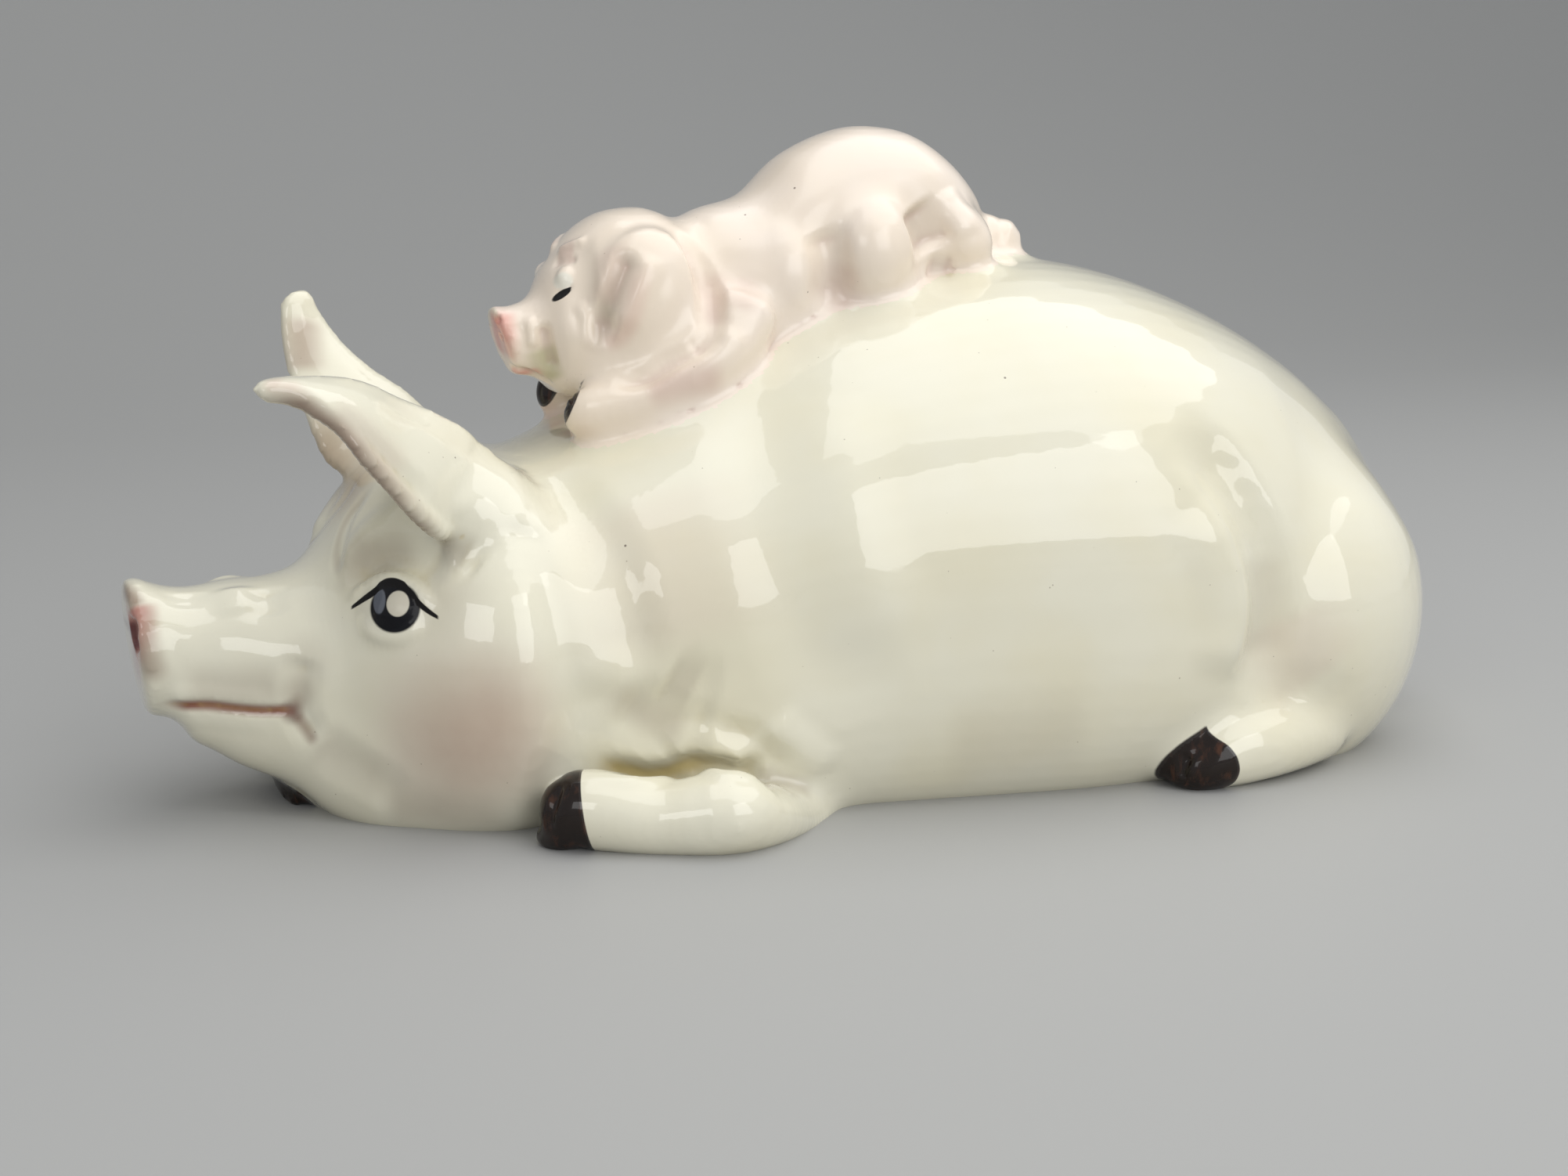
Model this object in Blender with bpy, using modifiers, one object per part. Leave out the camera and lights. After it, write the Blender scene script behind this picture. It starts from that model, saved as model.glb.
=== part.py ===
"""Glazed earthenware figurine: a sow lying on her belly with a piglet on her back.

The sow faces -X and lies on Z = 0. Her left side is -Y. All sizes are in metres.
The castings that a maker lutes together before firing are separate solids here,
and so are the parts that carry a glaze colour of their own, such as the hooves.
"""
import math

import bmesh
import bpy
from mathutils import Matrix, Vector

# Joints between castings
GAP = 0.0003

# Sow trunk: a hollow casting with an open neck and a pour hole in its base
NECK_X = -0.0620
NECK_HALF_WIDTH = 0.0415
NECK_HEIGHT = 0.0625
NECK_WIDEST = 0.0280
RUMP_X = 0.1340
RUMP_ROUND = 0.0260
TRUNK_HALF_WIDTH = 0.0630
BACK_HEIGHT = 0.0970
WALL = 0.0045
POUR_HOLE_X = 0.0480
POUR_HOLE_RADIUS = 0.0090

# Sow head: a hollow casting, open at the neck
SNOUT_X = -0.1275
SNOUT_HALF_WIDTH = 0.0118
SNOUT_HEIGHT = 0.0425
CHEEK_HALF_WIDTH = 0.0445
CROWN_HEIGHT = 0.0655
NOSE_LEAN_RATIO = 0.11
NOSE_LEAN_LENGTH = 0.0120
NOSE_DISC_THICKNESS = 0.0042
NOSE_DISC_RIM = 0.0006
NOSTRIL_SPREAD = 0.0043
NOSTRIL_DEPTH = 0.0022
NOSTRIL_HALF_WIDTH = 0.0016
NOSTRIL_HALF_HEIGHT = 0.0034

# Sow ears, legs and tail
LEFT_EAR_REACH = 0.0560
RIGHT_EAR_REACH = 0.0350
EAR_THICKNESS = 0.0042
EAR_ROOT_DEPTH = 0.0100
LEFT_EAR_ROOT_LINE = (0.30, 0.45, -0.84)
RIGHT_EAR_ROOT_LINE = (0.20, -0.10, -0.97)
FORELEG_RADIUS = 0.0083
LEFT_FORELEG_REACH = 0.0500
RIGHT_FORELEG_REACH = 0.0455
LEFT_FOREHOOF_RATIO = 0.86
RIGHT_FOREHOOF_RATIO = 0.88
HAUNCH_INSET = 0.0475
HAUNCH_HALF_LENGTH = 0.0330
HAUNCH_HALF_HEIGHT = 0.0340
HAUNCH_HALF_DEPTH = 0.0300
HAUNCH_PROUD = 0.0095
HAUNCH_MIDDLE_Z = 0.0275
HIND_FOOT_RADIUS = 0.0075
HIND_FOOT_REACH = 0.0410
HIND_HOOF_RATIO = 0.65
HOOF_JOINT_RATIO = 0.004
SHOULDER_ROUND_RATIO = 0.10
HOOF_ROUND_RATIO = 0.06
TAIL_ROOT_Z = 0.0580
TAIL_RADIUS = 0.0020
TAIL_CURL_RADIUS = 0.0060
TAIL_TURNS = 0.9
TAIL_CURL_CLOSING_RATIO = 0.50
TAIL_TAPER_RATIO = 0.40

# Piglet, solid; its heights are above the sow's back
PIGLET_FRONT_X = -0.0330
PIGLET_REAR_X = 0.0355
PIGLET_HALF_WIDTH = 0.0165
PIGLET_RISE = 0.0300
PIGLET_RUMP_ROUND = 0.0205
PIGLET_WIDEST_RATIO = 0.42
PIGLET_SINK_RATIO = 0.40
PIGLET_NOSE_X = -0.0600
PIGLET_NAPE_X = -0.0210
PIGLET_NAPE_ROUND = 0.0160
PIGLET_HEAD_HALF_WIDTH = 0.0180
PIGLET_HEAD_RISE = 0.0365
PIGLET_HEAD_SEAT_X = -0.0400
PIGLET_NOSE_LEAN_RATIO = 0.32
PIGLET_NOSE_LEAN_LENGTH = 0.0070
PIGLET_NOSE_THICKNESS = 0.0026
PIGLET_NOSE_RIM = 0.0002
PIGLET_NOSTRIL_SPREAD = 0.0020
PIGLET_NOSTRIL_DEPTH = 0.0012
PIGLET_NOSTRIL_HALF_WIDTH = 0.0008
PIGLET_NOSTRIL_HALF_HEIGHT = 0.0013
PIGLET_LEG_RADIUS = 0.0060
PIGLET_FOREHOOF_RATIO = 0.87
PIGLET_EAR_PLACE_RATIO = 0.55
PIGLET_EAR_LIFT_RATIO = 0.12
PIGLET_EAR_HALF_LENGTH = 0.0125
PIGLET_EAR_HALF_WIDTH = 0.0105
PIGLET_EAR_PROUD = 0.0030
PIGLET_EAR_HALF_DEPTH = 0.0070
PIGLET_TAIL_RADIUS = 0.0034
PIGLET_TAIL_LENGTH = 0.0130
PIGLET_TAIL_RIDGES = 4
PIGLET_TAIL_ROOT = 0.0060

# Sections. A lower half runs under its widest point as if it went on below the table
UNDERCUT_RATIO = 1.32
UPPER_POWER = 2.25
LOWER_POWER = 2.9
SHARP_ANGLE_DEGREES = 45.0

# Station, half-width, top, widest point, as shares of the trunk's length, half-width and height
TRUNK_PROFILE = (
    (0.09, 0.75, 0.715, 0.320),
    (0.20, 0.83, 0.815, 0.360),
    (0.30, 0.88, 0.920, 0.390),
    (0.41, 0.95, 0.975, 0.395),
    (0.51, 1.00, 1.000, 0.390),
    (0.61, 0.99, 0.972, 0.380),
    (0.71, 0.90, 0.900, 0.365),
    (0.80, 0.75, 0.805, 0.340),
    (0.87, 0.62, 0.705, 0.300),
    (0.93, 0.53, 0.605, 0.265),
    (1.00, 0.46, 0.500, 0.225),
)
# Station along the head, half-width, top, widest point, bottom, as shares of the snout's sizes
SNOUT_PROFILE = (
    (0.000, 0.98, 1.000, 0.730, 0.450),
    (0.045, 1.03, 0.975, 0.680, 0.240),
    (0.105, 1.10, 0.965, 0.620, 0.140),
    (0.195, 1.31, 0.980, 0.580, 0.085),
    (0.316, 1.70, 0.985, 0.560, 0.020),
)
# The same as shares of the cheeks' half-width and the crown's height
CHEEK_PROFILE = (
    (0.421, 0.56, 0.670, 0.38, -0.03),
    (0.511, 0.675, 0.800, 0.41, -0.09),
    (0.617, 0.80, 0.925, 0.43, -0.12),
    (0.737, 0.93, 0.990, 0.43, -0.13),
    (0.857, 1.00, 1.000, 0.43, -0.13),
)
# Station, half-width and rise of the piglet's body, as shares of its own sizes
PIGLET_PROFILE = (
    (0.00, 0.72, 0.90),
    (0.12, 0.92, 0.95),
    (0.28, 1.00, 0.87),
    (0.40, 1.00, 0.97),
    (0.57, 1.00, 1.00),
    (0.72, 0.98, 0.92),
    (0.86, 0.92, 0.76),
    (1.00, 0.80, 0.56),
)
# Station, half-width, top, widest point and bottom of the piglet's head, as such shares
PIGLET_HEAD_PROFILE = (
    (0.00, 0.33, 0.505, 0.337, 0.165),
    (0.11, 0.46, 0.560, 0.330, 0.110),
    (0.17, 0.62, 0.720, 0.355, 0.070),
    (0.27, 0.80, 0.860, 0.410, 0.040),
    (0.42, 0.95, 0.965, 0.465, 0.030),
    (0.57, 1.00, 0.995, 0.490, 0.040),
    (0.73, 0.99, 0.990, 0.505, 0.060),
    (1.00, 0.95, 0.960, 0.510, 0.090),
)

# Ear sheets, from the crown of the neck, as shares of the reach: rows from the root to the
# tip, each with its lower rim, crest and inner rim
LEFT_EAR_ROWS = (
    ((-0.339, -0.554, -0.241), (-0.116, -0.402, -0.080), (-0.357, -0.179, -0.062)),
    ((-0.473, -0.670, -0.170), (-0.268, -0.464, 0.089), (-0.482, -0.286, 0.027)),
    ((-0.607, -0.732, -0.027), (-0.464, -0.518, 0.196), (-0.607, -0.393, 0.125)),
    ((-0.732, -0.786, 0.130), (-0.634, -0.616, 0.259), (-0.714, -0.536, 0.214)),
    ((-0.866, -0.812, 0.232), (-0.812, -0.723, 0.295), (-0.839, -0.679, 0.259)),
    ((-1.000, -0.830, 0.268), (-0.991, -0.804, 0.312), (-0.996, -0.786, 0.286)),
)
RIGHT_EAR_ROWS = (
    ((-0.786, 0.314, -0.271), (-0.257, 0.571, -0.100), (-0.514, 0.943, -0.443)),
    ((-0.900, 0.457, -0.143), (-0.400, 0.686, 0.114), (-0.657, 1.057, -0.157)),
    ((-0.971, 0.600, 0.100), (-0.586, 0.757, 0.257), (-0.786, 1.086, 0.100)),
    ((-1.029, 0.700, 0.314), (-0.743, 0.814, 0.414), (-0.886, 1.029, 0.343)),
    ((-1.043, 0.786, 0.529), (-0.851, 0.857, 0.586), (-0.943, 0.971, 0.557)),
    ((-1.000, 0.843, 0.714), (-0.914, 0.880, 0.714), (-0.957, 0.920, 0.714)),
)

# Forelegs: station, place behind the neck as a share of the reach, then the distance out from
# the side of the body, the height, the half-width and the half-height as shares of the radius
LEFT_FORELEG_PATH = (
    (0.00, 1.00, -1.20, 1.57, 1.00, 1.00),
    (0.25, 0.70, 0.36, 1.08, 1.00, 1.00),
    (0.50, 0.38, 1.08, 0.94, 1.03, 1.00),
    (0.75, 0.11, 1.06, 0.84, 0.88, 0.88),
    (0.90, -0.03, 0.67, 0.78, 0.84, 0.84),
    (1.00, -0.18, -0.11, 0.66, 0.70, 0.70),
)
RIGHT_FORELEG_PATH = (
    (0.00, 0.81, -1.08, 1.45, 1.00, 1.00),
    (0.25, 0.40, 0.24, 1.08, 1.00, 1.00),
    (0.48, -0.07, 1.08, 0.94, 1.03, 1.00),
    (0.70, -0.51, 0.12, 0.84, 0.88, 0.88),
    (0.88, -0.86, -2.23, 0.72, 0.84, 0.80),
    (1.00, -1.00, -3.80, 0.54, 0.66, 0.58),
)
# The same, with places behind the middle of the haunch
HIND_FOOT_PATH = (
    (0.00, 0.43, -0.33, 1.13, 1.15, 1.15),
    (0.30, 0.04, -0.16, 0.91, 1.05, 1.00),
    (0.60, -0.50, -0.72, 0.80, 0.95, 0.92),
    (0.75, -0.65, -0.72, 0.73, 0.98, 0.95),
    (1.00, -1.00, -0.73, 0.47, 0.55, 0.40),
)
# Piglet's legs: station, place behind its front or its rear and distance from the middle as
# shares of its half-width, then rise above the sow's back and half-sizes as shares of the radius
PIGLET_FORELEG_PATH = (
    (0.00, 0.85, 0.91, 2.00, 1.20, 1.20),
    (0.30, 0.30, 1.12, 1.00, 1.10, 1.10),
    (0.60, -0.42, 1.03, 0.70, 0.90, 0.90),
    (0.85, -0.97, 0.79, 0.77, 0.70, 0.70),
    (1.00, -1.28, 0.64, 0.83, 0.55, 0.55),
)
PIGLET_HIND_LEG_PATH = (
    (0.00, -0.82, 0.52, 2.20, 1.30, 1.30),
    (0.25, -0.61, 0.73, 1.00, 1.25, 1.25),
    (0.50, -0.94, 0.94, 0.33, 0.87, 0.87),
    (0.72, -1.45, 1.03, 0.58, 0.92, 1.03),
    (1.00, -2.38, 1.06, 1.97, 1.38, 2.08),
)

COLOURS = {
    "ivory_glaze": ((0.73, 0.70, 0.58), 0.12),
    "pink_glaze": ((0.78, 0.62, 0.56), 0.14),
    "nose_glaze": ((0.50, 0.27, 0.20), 0.16),
    "piglet_nose_glaze": ((0.72, 0.27, 0.22), 0.16),
    "hoof_glaze": ((0.030, 0.018, 0.012), 0.10),
}


def clear_scene():
    for item in list(bpy.data.objects):
        bpy.data.objects.remove(item)


def make_collection(name):
    collection = bpy.data.collections.new(name)
    bpy.context.scene.collection.children.link(collection)
    return collection


def get_material(name):
    material = bpy.data.materials.get(name)
    if material:
        return material
    colour, roughness = COLOURS[name]
    material = bpy.data.materials.new(name)
    material.use_nodes = True
    shader = material.node_tree.nodes["Principled BSDF"]
    shader.inputs["Base Color"].default_value = (*colour, 1.0)
    shader.inputs["Roughness"].default_value = roughness
    shader.inputs["Metallic"].default_value = 0.0
    return material


def between(rows, at):
    """Smooth values between rows whose first number is the station."""
    index = 0
    while index < len(rows) - 2 and at > rows[index + 1][0]:
        index += 1
    left = rows[index]
    right = rows[index + 1]
    before = rows[max(index - 1, 0)]
    after = rows[min(index + 2, len(rows) - 1)]
    span = right[0] - left[0]
    t = (at - left[0]) / span
    values = []
    for k in range(1, len(left)):
        leave = (right[k] - before[k]) / (right[0] - before[0]) * span
        arrive = (after[k] - left[k]) / (after[0] - left[0]) * span
        values.append(
            left[k] * (2 * t**3 - 3 * t**2 + 1)
            + leave * (t**3 - 2 * t**2 + t)
            + right[k] * (3 * t**2 - 2 * t**3)
            + arrive * (t**3 - t**2)
        )
    return values


def signed_power(value, power):
    return math.copysign(abs(value) ** power, value)


def dome(distance, radius):
    """Share of the full section that is left at a distance from a rounded end."""
    if radius <= 0.0 or distance >= radius:
        return 1.0
    return math.sqrt(max(0.0, 1.0 - (1.0 - distance / radius) ** 2))


class Form:
    """A body lofted along X through upright sections: X, half-width, top, widest, bottom."""

    def __init__(self, rows, rear_round=0.0, lean=0.0, lean_length=1.0):
        self.rows = rows
        self.front = rows[0][0]
        self.rear = rows[-1][0]
        self.rear_round = rear_round
        self.lean = lean
        self.lean_length = lean_length

    def section(self, x):
        width, top, widest, bottom = between(self.rows, min(max(x, self.front), self.rear))
        share = dome(self.rear - x, self.rear_round)
        return width * share, widest + (top - widest) * share, widest, widest + (bottom - widest) * share

    def point(self, x, angle):
        width, top, widest, bottom = self.section(x)
        lift = math.sin(angle)
        power = UPPER_POWER if lift >= 0.0 else LOWER_POWER
        reach = top - widest if lift >= 0.0 else widest - bottom
        rise = reach * signed_power(lift, 2.0 / power)
        fade = max(0.0, 1.0 - (x - self.front) / self.lean_length)
        return Vector((
            x - self.lean * fade * rise,
            width * signed_power(math.cos(angle), 2.0 / power),
            widest + rise,
        ))

    def top_at(self, x, y=0.0):
        """Height of the upper surface over a point of the plan."""
        width, top, widest, _bottom = self.section(x)
        share = min(abs(y) / width, 0.999)
        return widest + (top - widest) * (1.0 - share**UPPER_POWER) ** (1.0 / UPPER_POWER)

    def side_at(self, x, z):
        """Half-width of the surface at a height over the widest point."""
        width, top, widest, _bottom = self.section(x)
        share = min(max((z - widest) / (top - widest), 0.0), 0.999)
        return width * (1.0 - share**UPPER_POWER) ** (1.0 / UPPER_POWER)

    def skin(self, count, sides, open_front=False, open_rear=False):
        """Rings at stations that draw together towards a rounded rear end."""
        rings = []
        for k in range(count + 1):
            t = k / count
            if self.rear_round:
                t = math.sin(0.5 * math.pi * t)
            x = self.front + (self.rear - self.front) * t
            rings.append([self.point(x, math.tau * (j + 0.5) / sides) for j in range(sides)])
        pole = None
        if self.rear_round:
            rings.pop()
            pole = Vector((self.rear, 0.0, self.rows[-1][3]))
        return join_rings(rings, end_pole=pole, cap_start=not open_front, cap_end=not open_rear)


def join_rings(rings, start_pole=None, end_pole=None, cap_start=True, cap_end=True):
    """One skin through rings of equal count, each end with a pole, a cap or an open rim."""
    bm = bmesh.new()
    loops = [[bm.verts.new(point) for point in ring] for ring in rings]
    sides = len(loops[0])
    for near, far in zip(loops, loops[1:]):
        for k in range(sides):
            follow = (k + 1) % sides
            bm.faces.new((near[k], near[follow], far[follow], far[k]))
    for loop, pole, cap in ((loops[0], start_pole, cap_start), (loops[-1], end_pole, cap_end)):
        if pole is not None:
            tip = bm.verts.new(pole)
            for k in range(sides):
                bm.faces.new((loop[k], loop[(k + 1) % sides], tip))
        elif cap:
            bm.faces.new(loop)
    bmesh.ops.recalc_face_normals(bm, faces=bm.faces[:])
    return bm


def flatten_base(bm):
    """Cut a form off at the table and close it there with a flat face."""
    geometry = bm.verts[:] + bm.edges[:] + bm.faces[:]
    bmesh.ops.bisect_plane(
        bm, geom=geometry, plane_co=(0, 0, 0), plane_no=(0, 0, -1), clear_outer=True
    )
    rim = [e for e in bm.edges if e.is_boundary and all(abs(v.co.z) < 1e-6 for v in e.verts)]
    if not rim:
        return
    low = {v for e in rim for v in e.verts}
    ends = [v for v in low if sum(1 for e in v.link_edges if e in rim) == 1]
    if len(ends) == 2:
        rim.append(bm.edges.new(ends))
    bmesh.ops.contextual_create(bm, geom=rim)
    bmesh.ops.recalc_face_normals(bm, faces=bm.faces[:])


def add_object(name, bm, collection, material=None):
    mesh = bpy.data.meshes.new(name)
    bm.to_mesh(mesh)
    bm.free()
    mesh.shade_smooth()
    mesh.set_sharp_from_angle(angle=math.radians(SHARP_ANGLE_DEGREES))
    item = bpy.data.objects.new(name, mesh)
    collection.objects.link(item)
    if material:
        mesh.materials.append(get_material(material))
    return item


def add_tool(name, bm):
    item = add_object(name, bm, tools)
    item.hide_render = True
    item.display_type = "WIRE"
    return item


def grown(source):
    """A cutter in the shape of a solid, larger all round by the gap of a joint."""
    bpy.context.view_layer.update()
    evaluated = source.evaluated_get(bpy.context.evaluated_depsgraph_get())
    mesh = bpy.data.meshes.new_from_object(evaluated)
    bm = bmesh.new()
    bm.from_mesh(mesh)
    bpy.data.meshes.remove(mesh)
    bm.normal_update()
    pushes = [(v, v.co + v.normal * GAP * v.calc_shell_factor()) for v in bm.verts]
    for vertex, place in pushes:
        vertex.co = place
    return add_tool(source.name + "_cutter", bm)


def add_boolean(item, other, operation="DIFFERENCE"):
    step = item.modifiers.new(operation.lower(), "BOOLEAN")
    step.operation = operation
    step.solver = "EXACT"
    step.object = other


def cut_by(item, cutters):
    for cutter in cutters:
        add_boolean(item, cutter)


def add_wall(item, thickness, offset):
    step = item.modifiers.new("wall", "SOLIDIFY")
    step.thickness = thickness
    step.offset = offset
    step.use_even_offset = True
    step.use_rim = True


def limb(rows, sides=12, start=0.0, end=1.0, steps=8, tip_start=0.0, tip_end=0.0):
    """A tapering limb through rows of station, X, Y, Z, half-width and half-height.

    Its rings turn with the path. tip_start and tip_end are the lengths of its rounded
    ends, in stations.
    """
    bend = (0.06, 0.18, 0.38, 0.65)
    stops = [start + (end - start) * k / steps for k in range(steps + 1)]
    if tip_start:
        stops = [start + tip_start * b for b in bend] + [s for s in stops if s >= start + tip_start]
    if tip_end:
        stops = [s for s in stops if s <= end - tip_end] + [end - tip_end * b for b in reversed(bend)]
    rings = []
    side = None
    for at in stops:
        x, y, z, wide, tall = between(rows, at)
        share = dome(end - at, tip_end) * dome(at - start, tip_start)
        ahead = Vector(between(rows, min(at + 0.01, 1.0))[:3])
        behind = Vector(between(rows, max(at - 0.01, 0.0))[:3])
        along = (ahead - behind).normalized()
        if side is None:
            side = along.cross(Vector((0.0, 0.0, 1.0))).normalized()
        side = (side - along * side.dot(along)).normalized()
        up = side.cross(along)
        ring = []
        for k in range(sides):
            angle = math.tau * (k + 0.5) / sides
            across = side * wide * share * math.cos(angle)
            ring.append(Vector((x, y, z)) + across + up * tall * share * math.sin(angle))
        rings.append(ring)
    first = Vector(between(rows, start)[:3]) if tip_start else None
    last = Vector(between(rows, end)[:3]) if tip_end else None
    bm = join_rings(rings, first, last)
    flatten_base(bm)
    return bm


def ellipsoid(centre, radii, segments=18, rings=11):
    bm = bmesh.new()
    bmesh.ops.create_uvsphere(bm, u_segments=segments, v_segments=rings, radius=1.0)
    bmesh.ops.scale(bm, vec=radii, verts=bm.verts[:])
    bmesh.ops.translate(bm, vec=centre, verts=bm.verts[:])
    return bm


def disc(centre, half_width, half_height, thickness, lean, segments=28):
    """A rounded disc that faces -X and leans forward at its top."""
    bm = bmesh.new()
    bmesh.ops.create_cone(
        bm, cap_ends=True, segments=segments, radius1=1.0, radius2=1.0, depth=thickness
    )
    bmesh.ops.rotate(bm, verts=bm.verts[:], matrix=Matrix.Rotation(math.pi / 2, 3, "Y"))
    bmesh.ops.scale(bm, vec=(1.0, half_width, half_height), verts=bm.verts[:])
    rims = [e for e in bm.edges if len(e.link_faces) == 2 and any(len(f.verts) > 4 for f in e.link_faces)]
    bmesh.ops.bevel(
        bm, geom=rims, offset=0.3 * thickness, segments=2, profile=0.5, affect="EDGES", material=-1
    )
    for vertex in bm.verts:
        vertex.co.x -= lean * vertex.co.z
    bmesh.ops.translate(bm, vec=centre, verts=bm.verts[:])
    return bm


def trunk_form():
    length = RUMP_X - NECK_X
    rows = [(NECK_X, NECK_HALF_WIDTH, NECK_HEIGHT, NECK_WIDEST, NECK_WIDEST * (1.0 - UNDERCUT_RATIO))]
    for at, width, top, widest in TRUNK_PROFILE:
        middle = widest * BACK_HEIGHT
        rows.append((
            NECK_X + at * length,
            width * TRUNK_HALF_WIDTH,
            top * BACK_HEIGHT,
            middle,
            middle * (1.0 - UNDERCUT_RATIO),
        ))
    return Form(rows, rear_round=RUMP_ROUND)


def head_form():
    rear = NECK_X - GAP
    length = rear - SNOUT_X
    rows = []
    for profile, half_width, height in (
        (SNOUT_PROFILE, SNOUT_HALF_WIDTH, SNOUT_HEIGHT),
        (CHEEK_PROFILE, CHEEK_HALF_WIDTH, CROWN_HEIGHT),
    ):
        for at, width, *heights in profile:
            rows.append((SNOUT_X + at * length, width * half_width, *(h * height for h in heights)))
    rows.append((rear, NECK_HALF_WIDTH, NECK_HEIGHT, NECK_WIDEST, NECK_WIDEST * (1.0 - UNDERCUT_RATIO)))
    return Form(rows, lean=NOSE_LEAN_RATIO, lean_length=NOSE_LEAN_LENGTH)


def piglet_body_form(trunk):
    length = PIGLET_REAR_X - PIGLET_FRONT_X
    rows = []
    for at, width, rise in PIGLET_PROFILE:
        x = PIGLET_FRONT_X + at * length
        seat = trunk.top_at(x)
        lift = rise * PIGLET_RISE
        rows.append((
            x,
            width * PIGLET_HALF_WIDTH,
            seat + lift,
            seat + PIGLET_WIDEST_RATIO * lift,
            seat - PIGLET_SINK_RATIO * lift,
        ))
    return Form(rows, rear_round=PIGLET_RUMP_ROUND)


def piglet_head_form(trunk):
    length = PIGLET_NAPE_X - PIGLET_NOSE_X
    seat = trunk.top_at(PIGLET_HEAD_SEAT_X)
    rows = [
        (
            PIGLET_NOSE_X + at * length,
            width * PIGLET_HEAD_HALF_WIDTH,
            *(seat + h * PIGLET_HEAD_RISE for h in heights),
        )
        for at, width, *heights in PIGLET_HEAD_PROFILE
    ]
    return Form(
        rows, rear_round=PIGLET_NAPE_ROUND,
        lean=PIGLET_NOSE_LEAN_RATIO, lean_length=PIGLET_NOSE_LEAN_LENGTH,
    )


def build_casting(name, form, count, sides, neck_at_front):
    """A hollow casting, open at the neck, and the solid that its outside makes."""
    bm = form.skin(count, sides, open_front=neck_at_front, open_rear=not neck_at_front)
    flatten_base(bm)
    item = add_object(name, bm, parts, "ivory_glaze")
    add_wall(item, WALL, -1.0)
    solid = form.skin(count, sides)
    flatten_base(solid)
    return item, add_tool(name + "_solid", solid)


def cut_pour_hole(trunk):
    bm = bmesh.new()
    bmesh.ops.create_cone(
        bm, cap_ends=True, segments=24, radius1=POUR_HOLE_RADIUS, radius2=POUR_HOLE_RADIUS,
        depth=4.0 * WALL, matrix=Matrix.Translation((POUR_HOLE_X, 0.0, 0.0)),
    )
    add_boolean(trunk, add_tool("pour_hole", bm))


def build_nose(name, form, thickness, rim, material, nostrils):
    """The disc at the end of a snout, luted to the flat front of the head."""
    width, top, widest, bottom = form.section(form.front)
    centre = Vector((form.front - GAP - 0.5 * thickness, 0.0, 0.5 * (top + bottom)))
    centre.x += form.lean * (widest - centre.z)
    half_height = 0.5 * (top - bottom) + rim
    item = add_object(
        name, disc(centre, width + rim, half_height, thickness, form.lean), parts, material
    )
    spread, half_wide, half_tall, depth = nostrils
    for side in (-1, 1):
        face = centre + Vector((-0.5 * thickness, side * spread, 0.0))
        hole = ellipsoid(face, (depth, half_wide, half_tall), 12, 8)
        add_boolean(item, add_tool(f"{name}_nostril_{side}", hole))


def build_ear(name, rows, reach, root_line, cutters):
    """A cupped sheet through a lower rim, a crest and an inner rim, thickened as cast clay."""
    crown = Vector((NECK_X, 0.0, CROWN_HEIGHT))
    columns = []
    for row in rows:
        low, crest, inner = (crown + Vector(point) * reach for point in row)
        pull = crest * 2.0 - (low + inner) * 0.5
        line = []
        for k in range(7):
            t = k / 6
            line.append(low * (1 - t) ** 2 + pull * 2 * t * (1 - t) + inner * t**2)
        columns.append(line)
    buried = [point + Vector(root_line) * EAR_ROOT_DEPTH for point in columns[0]]
    columns.insert(0, buried)
    bm = bmesh.new()
    grid = [[bm.verts.new(point) for point in line] for line in columns]
    for near, far in zip(grid, grid[1:]):
        for k in range(6):
            bm.faces.new((near[k], near[k + 1], far[k + 1], far[k]))
    bmesh.ops.recalc_face_normals(bm, faces=bm.faces[:])
    item = add_object(name, bm, parts, "ivory_glaze")
    add_wall(item, EAR_THICKNESS, 0.0)
    round_off = item.modifiers.new("round_off", "SUBSURF")
    round_off.levels = 1
    round_off.render_levels = 1
    cut_by(item, cutters)


def leg_rows(path, side, start_x, reach, trunk, radius):
    """Rows of a limb whose path is set out from the sow's side and from the table."""
    rows = []
    for at, behind, *across in path:
        x = start_x + behind * reach
        out, z, wide, tall = (share * radius for share in across)
        rows.append((at, x, side * (trunk.section(x)[0] + out), z, wide, tall))
    return rows


def piglet_leg_rows(path, side, start_x, trunk):
    """Rows of a limb whose path lies along the sow's back."""
    rows = []
    for at, behind, across, rise, wide, tall in path:
        x = start_x + behind * PIGLET_HALF_WIDTH
        y = across * PIGLET_HALF_WIDTH
        z = trunk.top_at(x, y) + rise * PIGLET_LEG_RADIUS
        rows.append((at, x, side * y, z, wide * PIGLET_LEG_RADIUS, tall * PIGLET_LEG_RADIUS))
    return rows


def build_foreleg(owner, side_name, rows, split, material, cutters):
    """A foreleg and its hoof on one path, parted square to it at the split station."""
    leg = limb(rows, end=split - HOOF_JOINT_RATIO, steps=9, tip_start=SHOULDER_ROUND_RATIO)
    hoof = limb(rows, start=split + HOOF_JOINT_RATIO, steps=3, tip_end=HOOF_ROUND_RATIO)
    cut_by(add_object(f"{owner}_foreleg_{side_name}", leg, parts, material), cutters)
    cut_by(add_object(f"{owner}_forehoof_{side_name}", hoof, parts, "hoof_glaze"), cutters)


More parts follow.
